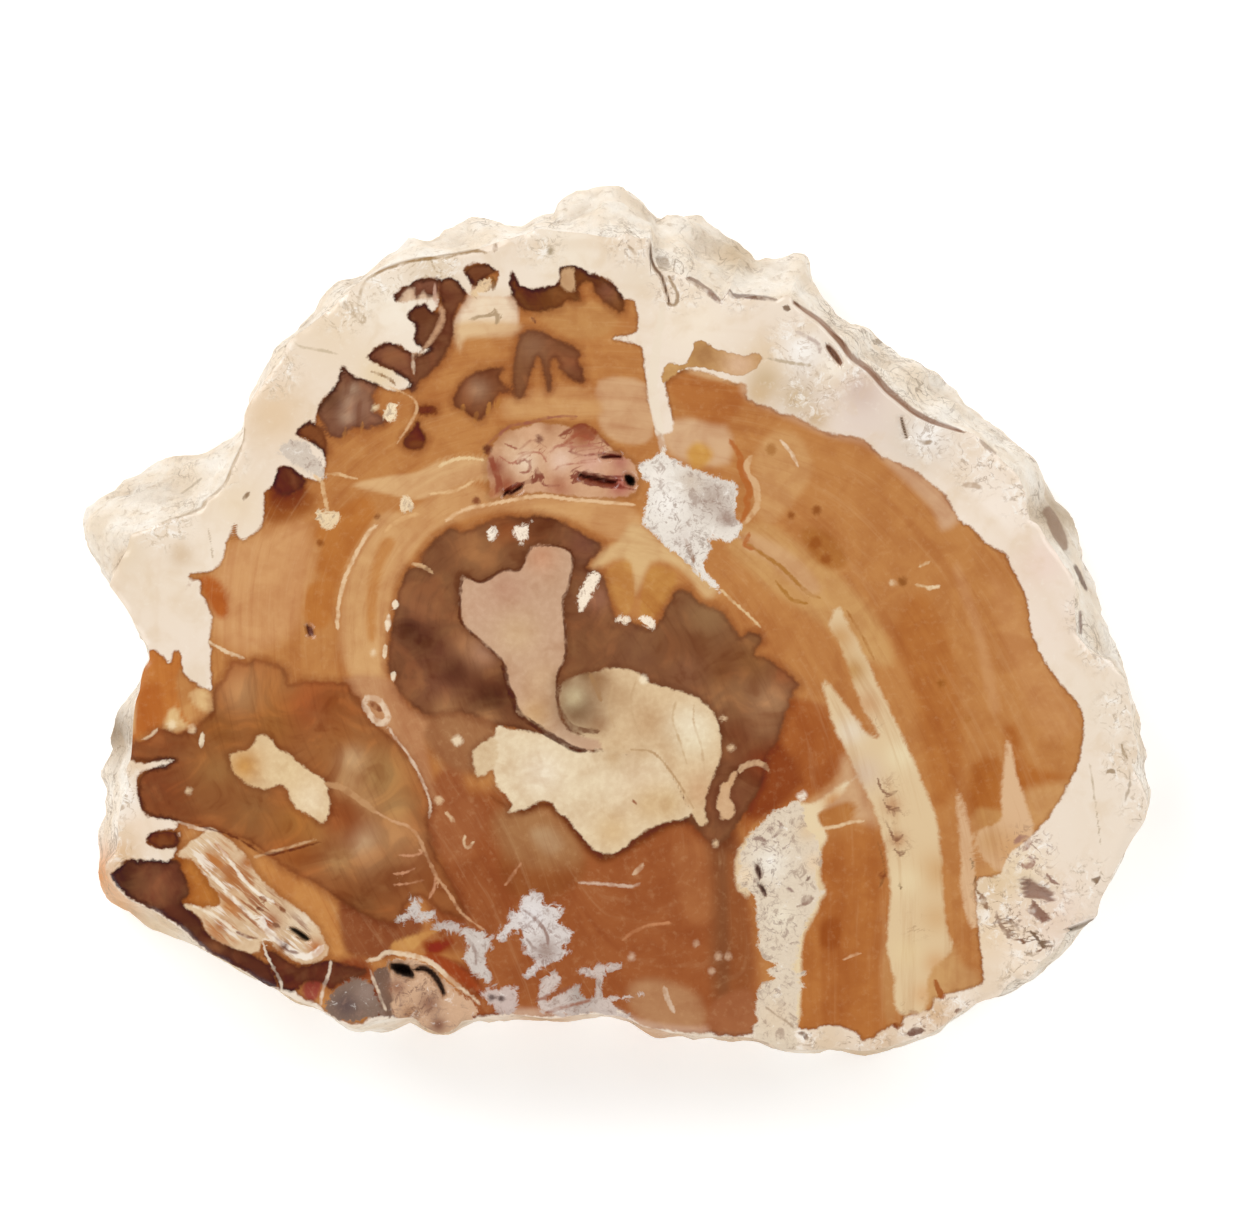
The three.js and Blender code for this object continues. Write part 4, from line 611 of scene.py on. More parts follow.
# Places netted with fine cracks: colour of the cracks, centre and radius.
MOTTLES = [
    # upper right rind
    ("#b49a80", (22, 25.4), 3), ("#bda48c", (20, 31), 2.5), ("#b9a08a", (26, 28), 2.4),
    ("#a8907a", (35, 20.4), 2.6), ("#a8907a", (41, 17.6), 3.2), ("#a58c74", (46, 13.6), 2.6),
    ("#9c8268", (52.6, 0.6), 2.2), ("#a08870", (54, -3.4), 2), ("#ac967c", (56.6, -10), 2.6),
    ("#ac967c", (57, -16), 2.4), ("#a08768", (58.6, -21), 1.8), ("#ac967c", (53, -29), 2.4),
    # hollows of the lower right
    ("#80584a", (46.2, -25.8), 2.8), ("#7c5444", (47.6, -31), 3), ("#7a5840", (43.6, -33), 3),
    ("#73502f", (46.6, -35.6), 2.8), ("#8a6a4c", (42, -30.4), 2),
    # lower edge
    ("#84583a", (34, -44.8), 2.4), ("#84603f", (28, -47.2), 2.6), ("#84603f", (21.6, -46.6), 1.6),
    ("#8d6a50", (38.4, -43), 2), ("#8a7060", (52, -35.2), 2), ("#a08668", (45.4, -40), 2.4),
    # left and upper edge
    ("#a88a66", (-55, -19), 3), ("#a88a66", (-56, -25), 2.4), ("#b39a78", (-50, 11), 3),
    ("#b8a080", (-44, 18), 3), ("#b8a080", (-38, 28), 3), ("#b59c7c", (-30, 35), 3),
    ("#a98c66", (-20, 40.4), 3.4), ("#b59c7c", (-26, 38.4), 2.6), ("#a08670", (7.4, 37.6), 3),
    ("#b09a84", (14, 37.6), 3), ("#a89078", (2, 42), 2.4), ("#b8a48c", (-8, 42), 2.4),
    # quartz and frost
    ("#8a6a60", (17.6, -25), 3), ("#7c5e54", (16.8, -29), 2.4), ("#8d7064", (18.4, -34), 3),
    ("#8d7064", (18, -40), 2.4), ("#8f7464", (6, 12), 3), ("#80604c", (9, 8), 2.4),
    ("#94786a", (11, 13), 2.4), ("#80584a", (-9, -36), 3.4), ("#80584a", (-4, -41), 3),
    # pocket at the bottom and the pale column
    ("#6a4230", (-22, -42), 3), ("#94684e", (30.6, -18.4), 0.9), ("#8f6248", (31.2, -21.6), 1),
    ("#8a5e42", (31.9, -24.8), 0.9), ("#9a7454", (33.8, -34), 1), ("#86604a", (28.8, -11.6), 0.6),
]

# Tints of the weathered skin: colour, centre and radius, over the plain chalky white.
SKIN = "#f8efe2"
SKIN_CLOUDS = [
    ("#e09c60", (-57.4, -28.6), 3.2), ("#e6b484", (-55, -32), 3), ("#e8cfae", (-51, -34.6), 3),
    ("#9c866c", (-56, -12.4), 2.6), ("#e6d0b0", (-44, -38.6), 4), ("#e8ccaa", (-36, -43), 4),
    ("#e0bf9a", (-20, -46.6), 4), ("#ddb896", (-8, -45), 5), ("#d9b08c", (4, -46.4), 5),
    ("#dfc0a0", (14, -47), 4), ("#dcc3a4", (28, -48.6), 5), ("#cbb498", (-53, 6), 2.4),
    ("#d3c0a6", (-48, 9), 2), ("#d8c6ac", (14, 41), 3), ("#d0c0aa", (50, 12), 3),
]

# Streaked places of the wedge at the lower left: colour of the streaks, centre and radius.
FIBRES = [
    ("#b5713c", (-44.8, -26.4), 2.4), ("#a9683a", (-42, -29.4), 2.8), ("#9c5e3a", (-39.4, -32.2), 2.6),
    ("#8a5236", (-36, -35.2), 2.4), ("#b5713c", (-43, -33.6), 2.4),
]

# Pale veins: colour, width and path.
VEINS = [
    ("#eadac4", 1.1, [(5.5, 34.6), (4.8, 30), (4.4, 26), (5, 22), (5.6, 18.6)]),
    ("#bf9064", 0.8, [(-32, -18.2), (-30, -18.7), (-28, -20.1), (-26.4, -21.3)]),
    ("#d0a078", 0.4, [(-26.4, -21.3), (-24.6, -22.3), (-22, -23.5), (-20, -27.8), (-17.8, -31),
        (-16.8, -32.6), (-14.4, -34.4)]),
    ("#cf9672", 0.3, [(-19.7, -28.6), (-19.8, -29.6), (-20.4, -31)]),
    ("#cf9672", 0.3, [(-23.8, -26.1), (-22.6, -26.2), (-21.2, -25.9)]),
    ("#cf9672", 0.3, [(-24.4, -28.2), (-23.2, -28.1), (-22, -27.6)]),
    ("#cf9672", 0.25, [(-24.4, -29.4), (-22.8, -29.3), (-21, -28.9)]),
    ("#e9c9a0", 0.5, [(-30.6, -1), (-30.6, 0.4), (-30, 4.2), (-27.4, 9.4), (-26.2, 10.6)]),
    ("#ddb07a", 0.5, [(-25.4, 9.8), (-24.2, 10.8), (-22.8, 11.5), (-21.4, 11.8)]),
    ("#e6c08e", 0.35, [(-20.4, 14), (-18, 14.3), (-16.6, 14.8), (-15.4, 15.5)]),
    ("#e8c398", 0.5, [(-18.6, 11), (-16.6, 12.2), (-13, 13), (-8, 13.8), (-5, 13.4), (-2, 13.2),
        (2.4, 12.8)]),
    ("#e8ca9a", 0.5, [(-19.4, 17), (-18, 17.7), (-16.4, 18), (-14.4, 17.8)]),
    ("#e2bc8c", 0.6, [(-33.2, 16), (-32.4, 15.4), (-32.2, 14.4), (-31.7, 12.2)]),
    ("#e2bc8c", 0.4, [(-32, 16.2), (-30.4, 16.2), (-29.6, 15.9), (-28.4, 15.7)]),
    ("#e8cda8", 0.45, [(-44.9, -2.4), (-43.4, -3.3), (-42, -3.9), (-41, -4.2)]),
    ("#dcb184", 0.3, [(-25, 26), (-22.2, 24.6), (-21.9, 23), (-24, 19.6)]),
    ("#d9bda2", 0.35, [(-22.3, 29.8), (-22.2, 28.4), (-22.1, 27.2)]),
    ("#fbe9cc", 0.8, [(-24.1, 2.1), (-24.3, 1.3)]),
    ("#fbe9cc", 0.65, [(-24.9, 0.6), (-25.1, -1.2)]),
    ("#f2dcba", 0.6, [(-25.3, -2.8), (-25.4, -4.2)]),
    ("#fbe9cc", 0.6, [(-24.3, -5.8), (-24.5, -6.7)]),
    ("#f2e0c0", 0.7, [(-45.6, -12.6), (-45.8, -14.1)]),
    ("#c9a08a", 0.4, [(-19.8, 37.4), (-19.8, 36), (-19.6, 35)]),
    ("#eadac4", 0.35, [(-39, -35.5), (-38.4, -37.4), (-37, -40), (-36.8, -41.4)]),
    ("#e6d2ba", 0.4, [(-31.3, -37.8), (-31.6, -39.4), (-32.2, -41), (-32.6, -43.4)]),
    ("#e2cbb0", 0.35, [(-27, -38.8), (-26.6, -40), (-26.2, -41), (-25.2, -43.4)]),
    ("#e9d3b4", 0.6, [(-27.4, -37.9), (-26, -37.6), (-24.8, -36.9), (-20.6, -37.8), (-18, -40),
        (-14.8, -42.6)]),
    ("#cfa67c", 0.35, [(-40, -26.4), (-38.6, -26), (-36.5, -25.4), (-33, -24.4)]),
    ("#f3e7d4", 0.5, [(-46.2, -26.6), (-44.2, -28.8), (-42.2, -31), (-40, -33), (-38.8, -34.4)]),
    ("#f3e7d4", 0.5, [(-44.2, -24.6), (-42.4, -27), (-40.2, -29.8), (-37.6, -31.4)]),
    ("#f0e0c8", 0.45, [(-46.8, -31.7), (-44, -33), (-42, -34.6), (-40, -35.6)]),
    ("#f6ecde", 0.9, [(-39, -33), (-38.4, -34.6), (-35, -37.2), (-33.2, -37.2), (-32.2, -36.2)]),
    ("#e6cdb2", 0.5, [(-48.4, -22.4), (-46, -23.2), (-44, -23.4)]),
    ("#d9bda6", 0.4, [(-3.8, -29.2), (0, -29.4), (2.2, -29.6), (3, -29.2)]),
    ("#d8b694", 0.55, [(2.2, -28.3), (3, -27.6), (3.4, -27.1)]),
    ("#c98a60", 0.35, [(1, -35.6), (2.4, -34.6), (4, -33.9), (6.4, -33.6)]),
    ("#d8bda3", 0.6, [(5.7, -40.8), (6, -42), (6.8, -43.6)]),
    ("#c9906a", 0.35, [(-12, -29.5), (-11.2, -28.4), (-10.2, -27)]),
    ("#dcb088", 0.35, [(25.6, -37.8), (26.6, -37.3), (27.6, -37)]),
    ("#e6c9a0", 0.4, [(22, -23.4), (24.6, -23), (26.6, -22.4), (28, -22.4)]),
    ("#d9b184", 0.5, [(-22.4, 6.2), (-21.2, 6), (-20, 5.2)]),
    ("#d9b184", 0.8, [(15.4, 18.2), (14.8, 17.2), (15, 16), (15.8, 15.2), (16, 12.6), (14.4, 10.6)]),
    ("#e4c596", 0.35, [(12, 3.4), (13.4, 2), (15, 0.6), (16.4, -0.8)]),
    ("#e6cba0", 0.3, [(34, 5.9), (34.6, 6.2), (35.2, 6.5)]),
    ("#e6cba0", 0.3, [(33.6, 3.9), (34.2, 3.8), (34.8, 3.7)]),
    ("#f0d9b2", 0.45, [(34.9, 3.5), (35.6, 3.6), (36.4, 3.8)]),
    ("#e9cfb0", 0.4, [(18.6, 20), (19.8, 18.6), (20.6, 17)]),
    ("#e3c9ae", 0.4, [(-24.8, -12), (-24.4, -12.8), (-22.2, -15.8), (-20.4, -20), (-20.4, -22)]),
    ("#e8cfb2", 0.8, [(-27.7, -8.6), (-26, -8.9), (-25, -10.8), (-26, -11.5), (-27.5, -9.8), (-27.7, -8.9)]),
    ("#dcb890", 0.5, [(-18.6, -21.4), (-17.6, -22.4)]),
    ("#e6c8a0", 0.4, [(-16.4, -23.9), (-16.6, -24.8), (-16, -25.3), (-15.5, -24.6)]),
    ("#e2c7a4", 0.35, [(-52.4, -13.3), (-51.4, -12.9), (-50.6, -12.1)]),
    ("#d9b488", 0.5, [(16, -16), (16.9, -16), (17.3, -16.8)]),
    ("#d4ae86", 0.7, [(14.1, -17), (14.3, -16.4), (16, -15.8), (17.3, -16.6)]),
]

# Dark and rusty lines: colour, width and path.
LINES = [
    # cracks of the rind
    ("#b9a184", 0.4, [(-50.5, 10.6), (-45.8, 12.4), (-45.5, 13), (-43.2, 15), (-42.2, 17.4), (-41.2, 19.6),
        (-41, 21.4)]),
    ("#b7a388", 0.35, [(-49, 13.3), (-47.4, 14.6), (-45.5, 16)]),
    ("#bda78c", 0.35, [(-45, 10.2), (-44.7, 8.6), (-44.5, 7)]),
    ("#c0a98c", 0.35, [(-30, 35.4), (-27.9, 33), (-27.6, 33.6), (-28.4, 34.6), (-27.6, 37.6),
        (-26.4, 38.3)]),
    ("#c9b598", 0.3, [(-35.6, 31.2), (-34.8, 30.4), (-32, 29.9), (-30.5, 29.5)]),
    ("#94703f", 0.5, [(-26.5, 38.3), (-25.4, 39), (-22, 40), (-20, 40.2), (-15.6, 41), (-14, 40.8)]),
    ("#8f6a48", 0.6, [(-13.2, 41), (-13, 41.8)]),
    ("#7c5a36", 0.5, [(-41.1, 13.3), (-40.8, 13.8), (-40.4, 14.2)]),
    ("#b9a589", 0.35, [(53, -16), (53.6, -20.4), (54.2, -25)]),
    ("#b9a488", 0.4, [(17.2, 29.1), (19.6, 28.6), (22, 28.3)]),
    ("#9d8266", 0.45, [(33.8, 20), (34.6, 19.7), (35.5, 19.8)]),
    ("#75492a", 0.75, [(8.2, 38), (9.2, 37.6), (11, 36.2), (12, 35.2)]),
    ("#64391c", 0.6, [(12.9, 36.8), (13.2, 36.1), (16, 35.9), (18.2, 35.6)]),
    ("#6b4a2e", 0.7, [(19, 34.8), (19.6, 34.5)]),
    ("#6f4a3c", 0.45, [(52, 1), (52, -0.4), (52.1, -1.8)]),
    ("#7a5d42", 0.5, [(53.2, -28.8), (53.6, -29.2), (54, -28.8), (54.2, -28.4)]),
    ("#a08768", 0.5, [(56.5, -13.8), (56.8, -14.8), (57.2, -15.4)]),
    ("#9d8466", 0.5, [(54.8, -17), (55.3, -16.7), (55.9, -17)]),
    ("#b3a08a", 0.4, [(57.4, -16.6), (57.4, -18.4), (56.8, -20.4)]),
    ("#9a7c5a", 0.4, [(1.7, 41.6), (2.2, 41), (2.6, 40.6)]),
    ("#9a7c5a", 0.35, [(6.2, 38.2), (7.2, 36), (6.8, 35), (6, 35.2)]),
    ("#a88c6a", 0.5, [(-13.2, 34.6), (-12.8, 33.6), (-13, 32.8)]),
    ("#a88c6a", 0.35, [(-16, 33.4), (-14.4, 33.8), (-12.4, 34)]),
    ("#a58a72", 0.6, [(40.8, 20), (41.6, 19.2), (42.6, 18.4)]),
    ("#bfa58c", 0.6, [(38.8, 15), (40, 15), (41, 14.6)]),
    ("#bda79a", 0.5, [(20.4, 32), (21.6, 31.4), (22.8, 30.6), (23, 29.6)]),
    # rust round the quartz
    ("#b0622c", 0.8, [(13, 20), (14.2, 18), (14.1, 17), (15.2, 14.4), (14.8, 13.4), (15, 12.6),
        (14.2, 10.8)]),
    ("#b0622c", 0.6, [(15.2, 9.6), (14.8, 8.9), (14.6, 8.4), (15.6, 7.8)]),
    ("#a8702e", 0.5, [(15, 8.4), (18.8, 5.8), (21.4, 3.2), (23, 2.4)]),
    ("#a8702e", 0.45, [(18, 4.4), (19, 3.2), (20, 2.2), (21.6, 1.8)]),
    ("#a56a30", 0.4, [(26, 1), (27.6, -1.6), (29, -4.4)]),
    ("#8d6040", 0.5, [(8, 9), (8.6, 7.8), (9, 6.4)]),
    # seams of the fossil wood
    ("#4a1e0c", 0.75, [(-12.3, -5), (-10.8, -9.8), (-9, -11.5), (-4.6, -14.2), (-3, -14.5)]),
    ("#55260f", 0.4, [(-9.2, 8), (-10.4, 5.6), (-12.2, 5.6), (-14.6, 4.2), (-16.6, 4.9), (-17, 1.6),
        (-16.6, -0.6), (-12.4, -4.4), (-11.9, -6.8), (-10.8, -8.8), (-10.7, -10)]),
    ("#55260f", 0.4, [(-9, 8.2), (-6, 8.2), (-4.4, 7), (-5, 3.4), (-5.6, 2), (-5.2, -3.6), (-6.2, -6.4),
        (-6, -10), (-4.8, -12.3)]),
    ("#b28c62", 0.3, [(2, -14.4), (4.6, -14.8), (7.1, -17.8), (9, -21)]),
    ("#6e452c", 0.8, [(-6, -9.8), (-5.4, -11.1), (-4.2, -12.1), (-1.6, -12.4)]),
    ("#c2a078", 0.22, [(0.4, -6), (-0.2, -8), (-0.4, -10), (0.2, -12)]),
    ("#c2a078", 0.22, [(2.6, -6.6), (2, -8.6), (2.2, -10.6), (3, -12.8)]),
    ("#c4a47c", 0.22, [(7, -9), (6.6, -11), (7.4, -13.4), (8.2, -16)]),
    ("#c6a680", 0.22, [(9, -9.4), (9, -11.6), (9.8, -14), (10.2, -17)]),
    ("#a07850", 0.6, [(-2.6, -6), (-1.8, -7.6), (-1.3, -9)]),
    ("#5c2410", 0.3, [(-46, -22.9), (-42, -24.1), (-38.8, -26), (-36, -25.6), (-32.4, -24.6)]),
    # slits and creases of the pink band
    ("#7a2a1a", 0.5, [(-4.6, 15.2), (-3.4, 15.6), (-1, 15), (2.4, 14.5)]),
    ("#823a26", 0.5, [(-6, 20.4), (-3.2, 21.7), (-0.5, 19.4)]),
    ("#8c4a3a", 0.35, [(-8.4, 17), (-8, 15.3), (-7.2, 14.9), (-6, 15)]),
    ("#75281a", 0.9, [(-8.6, 16.4), (-7.8, 15.8)]),
    ("#75281a", 0.6, [(-12, 14.4), (-10, 15.2), (-8.2, 15.6)]),
    ("#9c5238", 0.5, [(-5.6, 19.4), (-4, 20.6), (-2.2, 20)]),
    ("#8f4a30", 0.8, [(-4.4, 20.8), (-3, 21.1), (-1.6, 20.2)]),
    ("#75281a", 0.8, [(-4.6, 16), (-3, 15.4), (-0.6, 15), (1, 14.9)]),
    ("#94503e", 0.35, [(-10.6, 17.3), (-10, 17.8), (-9.2, 17.4), (-9.4, 16.5), (-10.3, 16.4)]),
    ("#9a5a48", 0.4, [(-14.2, 19.4), (-11.6, 21.4), (-10, 21.8), (-6.4, 22.6), (-4, 22.6)]),
    ("#8f4630", 0.8, [(-14, 19), (-13, 16.4), (-12.6, 15), (-13, 14)]),
    ("#8a4236", 0.35, [(-5, 18.8), (-3.4, 18.3), (-1, 18.5), (1, 18)]),
    ("#7f3a30", 0.35, [(-4.6, 16.6), (-2.4, 16.2), (0, 15.9), (1.2, 16)]),
    ("#96503c", 0.3, [(-12, 19.6), (-10.4, 19), (-9, 20), (-7.4, 19.2)]),
    ("#a8604a", 0.3, [(-12.6, 18.2), (-11.2, 17.4), (-9.8, 18.4), (-8.2, 18.6), (-7.4, 17.6)]),
    ("#b0705a", 0.3, [(-7, 18.6), (-6, 19.4), (-4.4, 19.2), (-2.6, 19.4), (-1, 19)]),
    ("#b0705a", 0.25, [(-6.6, 16.6), (-5.6, 17.2), (-4, 17.4), (-2, 17.6)]),
    # brown filaments of the pale column
    ("#84583e", 0.45, [(30.2, -22.2), (30.9, -23.6), (31.4, -24.6), (32.3, -23.8)]),
    ("#8a6248", 0.4, [(29.4, -17.6), (29.8, -18.8), (30.7, -19.4), (31.6, -19)]),
    ("#84583e", 0.4, [(30, -20), (30.8, -21.2), (31.6, -20.8), (32.2, -21.6)]),
    ("#8a6248", 0.4, [(31.2, -25.4), (32, -26.2), (32.6, -25.6)]),
    ("#8f5a30", 0.4, [(29.4, -24.6), (29.9, -26.4), (30.2, -28.2), (29.4, -30)]),
    # rust and stains along the lower right edge
    ("#9a4e1c", 0.7, [(35.8, -40), (36.2, -41.2), (36.8, -41.8), (36.4, -42)]),
    ("#8a4420", 0.8, [(33, -43.8), (33.8, -43.6)]),
    ("#7a3410", 0.9, [(31.2, -45.2), (31.8, -45)]),
    ("#6a4030", 1, [(32.8, -46), (33.6, -45.7), (34.4, -45.6)]),
    ("#84604c", 0.6, [(38, -43.6), (38.6, -43.2)]),
    ("#6a4428", 0.6, [(20.6, -45.9), (21.2, -46), (21.6, -46.6)]),
    # dark lace of the white column
    ("#7c5a4c", 0.7, [(15.9, -27.2), (16.2, -28), (16.3, -28.8)]),
    ("#7c5a4c", 0.55, [(16.2, -29.4), (16.6, -30), (17, -30.7)]),
    ("#6f4c3c", 0.55, [(21.9, -28.4), (21.5, -29)]),
    ("#86645a", 0.6, [(19.4, -29.8), (20, -30.2)]),
    ("#86604e", 0.4, [(21, -30.6), (22.2, -30.8), (21.6, -31.4), (20.4, -31.9)]),
    # gaps between the strokes of the frost
    ("#93583c", 0.5, [(-8.6, -42.3), (-6.6, -41.6), (-4.6, -40.7)]),
    ("#93583c", 0.45, [(-7.4, -43.6), (-5, -42.9), (-2.4, -42.3)]),
    ("#8c6a5c", 0.45, [(-10, -32.2), (-8.6, -33.2), (-7.4, -34.8), (-7.2, -36.4)]),
    ("#93786c", 0.4, [(-9.6, -35.4), (-8.6, -36.6), (-7, -37)]),
    ("#93786c", 0.4, [(-16.2, -35.4), (-15.4, -36.6), (-15.2, -38.4)]),
    ("#8d6e60", 0.4, [(18.2, -22.2), (18.8, -23), (17.8, -24.2)]),
    ("#8d6e60", 0.5, [(15.6, -24.4), (16.4, -24.3), (17, -24.6)]),
    ("#a98e74", 0.3, [(17, -43), (18, -43.8), (19, -44.4), (20.2, -45.4)]),
    # vugs of the lower right
    ("#a07464", 0.9, [(44.6, -24.8), (45.4, -24.2), (46.2, -24.6), (45.6, -25.6)]),
    ("#96685a", 0.7, [(46.2, -26.2), (46.8, -27), (46, -27.4), (45.4, -27.2)]),
    ("#8a6252", 0.5, [(48.2, -28.2), (48.8, -29), (49.6, -29.4)]),
    ("#7a4e3c", 0.9, [(46.6, -31.2), (47, -32), (47.8, -32.8), (48.6, -33.2)]),
    ("#7c4c3c", 0.7, [(46, -32.2), (46.4, -32.4), (48, -33.6)]),
    ("#7c5430", 0.5, [(40.3, -28.4), (40.2, -29.6), (40.6, -30.4)]),
    ("#7c6040", 0.5, [(39.6, -26.4), (40, -27), (39.8, -27.8)]),
    ("#7c6040", 0.5, [(31.8, -29.2), (32, -29.9)]),
    ("#855c3e", 0.9, [(41, -30.6), (41.2, -31.4), (41.6, -32)]),
    ("#8f6e58", 0.7, [(42.6, -32.4), (42.8, -33.4), (44, -35.2), (44.4, -35.4)]),
    ("#6a4428", 0.6, [(44, -33.2), (44.6, -33.8), (45.2, -34.6)]),
    ("#74492c", 0.6, [(45.2, -35.5), (45.6, -35.8), (46, -36)]),
    ("#5c3a18", 0.6, [(46.4, -34.6), (47, -35.2), (47.6, -36), (48, -36.2)]),
    ("#7a5238", 0.5, [(47.2, -37), (47.6, -36.6)]),
    ("#8a6e50", 0.45, [(45.6, -36.9), (46.8, -37.4)]),
    ("#7a5c48", 0.5, [(48.4, -35.6), (48.8, -36.4)]),
    # fibres of the wedge at the lower left
    ("#8a4a28", 0.7, [(-39.2, -30.8), (-38.6, -31.1)]),
    ("#6e3418", 0.6, [(-39.6, -32), (-38.8, -32.2)]),
    ("#7c4424", 0.5, [(-37, -31.9), (-36.4, -32.4)]),
    ("#7c5038", 0.6, [(-37.8, -33.7), (-37, -34.1)]),
    ("#7c4022", 0.8, [(-26.9, -9.1), (-26.4, -9.6), (-25.8, -10.1)]),
    ("#7a4428", 0.35, [(-42, -34.6), (-40.6, -35.2), (-39.4, -35.4)]),
    ("#6e3a22", 0.4, [(-36.8, -36.2), (-36, -36.8), (-35, -37)]),
    # creases beside the dark slots of the upper left
    ("#8a5f34", 0.5, [(-26.8, 27.6), (-25.6, 27.2), (-24.6, 26.6), (-24.2, 26.1)]),
    ("#7c5028", 0.5, [(-13.4, 38.2), (-13.2, 37.4), (-13.4, 36.6)]),
    ("#7a4a24", 0.4, [(-5.9, 37.2), (-4.8, 36.2), (-3.8, 35.6)]),
    ("#b0743a", 0.5, [(-16.9, 22.6), (-16.6, 24)]),
    ("#b0743a", 0.5, [(-15.4, 21.8), (-15.1, 23.2)]),
    ("#b0743a", 0.5, [(-14, 22.6), (-13.7, 24.2)]),
    ("#b0743a", 0.45, [(-12.9, 23.4), (-12.6, 24.8)]),
    ("#b0743a", 0.45, [(-30, 20), (-29.7, 21.4)]),
    ("#b0743a", 0.45, [(-28, 20.8), (-27.8, 22)]),
    ("#8d4a2a", 0.4, [(2.2, -20), (2.6, -20.4)]),
    ("#6f4030", 0.4, [(-9, 33.6), (-8.6, 33)]),
]

# Spots: colour, centre and radius.
SPOTS = [
    ("#8a4a1c", (19.8, 11.6), 0.4), ("#8a4a1c", (22.6, 12.2), 0.5), ("#94501f", (22.5, 8.6), 0.7),
    ("#94501f", (23.7, 6.8), 0.6), ("#8a5020", (32.2, 4.3), 0.5), ("#95561f", (36.5, -7), 0.45),
    ("#7c4016", (-26.2, 11.5), 0.35), ("#8a4a1c", (-32.5, 8.6), 0.4), ("#a8682c", (39.4, -11), 0.35),
    ("#e8cba4", (-26.6, -3.6), 0.4), ("#eed8b6", (-17.3, -13.4), 0.55), ("#dcb890", (-19.4, -20), 0.45),
    ("#f2e0c0", (3.4, -6.6), 0.5), ("#e2c098", (13.2, -14.2), 0.35), ("#e2c098", (12.2, -11), 0.35),
    ("#e2c098", (11.4, -24.8), 0.35), ("#e8cca4", (-47.2, -19), 0.35), ("#eed6ae", (-49, -11.6), 0.5),
    ("#e6c8a0", (-46.8, -12.1), 0.4), ("#e6cfa6", (-26.4, 23.6), 0.4), ("#3c1a12", (-13.5, -42), 0.35),
    ("#3c1a12", (-12.4, -42), 0.35), ("#cfae94", (2.1, -37.4), 0.4), ("#c9a486", (9.2, -36), 0.35),
    ("#c9a486", (11.7, -37.4), 0.4), ("#c9a486", (12.8, -37.4), 0.35), ("#c9a486", (11, -39), 0.35),
    ("#5c2a1c", (-14, 19), 0.5), ("#7a3a20", (-15.2, 13.3), 0.4), ("#6c3428", (-8.2, 20.1), 0.45),
    ("#8a2c10", (-19.6, -36.3), 0.5), ("#5c2c16", (-36.5, -36.2), 0.4), ("#f4e8d4", (21, -19.6), 0.5),
    ("#9a8668", (-7, 41), 0.4), ("#8c745a", (7.6, 40.8), 0.5), ("#7c3c1e", (29.9, -28.4), 0.4),
    ("#ecd4ae", (31, 4.1), 0.3), ("#a9713c", (17.6, 19), 0.6),
]


def tone(colour):
    """Linear red, green and blue of an sRGB hex colour."""
    parts = np.array([int(colour[i:i + 2], 16) for i in (1, 3, 5)]) / 255
    return np.where(parts <= 0.04045, parts / 12.92, ((parts + 0.055) / 1.055) ** 2.4)


def smooth_step(low, high, value):
    """0 below low, 1 above high, and 3t² - 2t³ between them, t being the share of the way."""
    t = np.clip((value - low) / (high - low), 0, 1)
    return t * t * (3 - 2 * t)


def polar_outline(points, centre=CENTRE):
    """Angle, radius and slope of an outline's points around a centre, sorted by angle.
    The slope at a point is the harmonic mean of the slopes on its two sides, or none where
    they differ in sign, so that a curve through the points never overshoots them."""
    places = np.array(points, float) - centre
    angle = np.arctan2(places[:, 1], places[:, 0])
    order = np.argsort(angle)
    angle = angle[order]
    radius = np.hypot(places[:, 0], places[:, 1])[order]
    turn = 2 * math.pi
    angle = np.concatenate([[angle[-1] - turn], angle, [angle[0] + turn]])
    radius = np.concatenate([[radius[-1]], radius, [radius[0]]])
    rise = np.diff(radius) / np.diff(angle)
    before = np.concatenate([[0], rise])
    after = np.concatenate([rise, [0]])
    same_way = before * after > 0
    slope = np.where(same_way, 2 * before * after / np.where(same_way, before + after, 1), 0)
    return angle, radius, slope


def radius_at(ring, angle):
    """Radius at each angle: the cubic through the ring's neighbouring points and slopes."""
    angles, radii, slopes = ring
    a = np.clip(np.searchsorted(angles, angle, side="right") - 1, 0, len(angles) - 2)
    span = angles[a + 1] - angles[a]
    s = (angle - angles[a]) / span
    rest = 1 - s
    return (radii[a] * rest**2 * (1 + 2 * s) + radii[a + 1] * s**2 * (1 + 2 * rest)
            + span * s * rest * (slopes[a] * rest - slopes[a + 1] * s))


def wrapped(angle):
    """The same angle between -pi and pi."""
    return (angle + math.pi) % (2 * math.pi) - math.pi


def bearing_and_distance(points, centre):
    """Angle and distance of each point from a centre."""
    away = points - centre
    return np.arctan2(away[:, 1], away[:, 0]), np.hypot(away[:, 0], away[:, 1])


OUTLINE_RING = polar_outline(OUTLINE)
FACE_RING = polar_outline(FACE_EDGE)
GROWTH_RING = polar_outline(GROWTH, PITH)


def hollow(angle, t):
    """Hollows of the skin, 0 to 1: lumps and ridges are products and sums of sines of the angle
    and of t, the share of the way down, and fade to none at the face and at the back."""
    lumps = np.sin(17 * angle + 2.6 * t + 3.1) * np.cos(6.3 * t + 2 * np.sin(5 * angle))
    ridges = np.sin(37 * angle + 1.2 * np.sin(4 * t + 7 * angle))
    return (0.5 - 0.25 * (lumps + ridges)) * np.sqrt(np.maximum(np.sin(math.pi * t), 0))


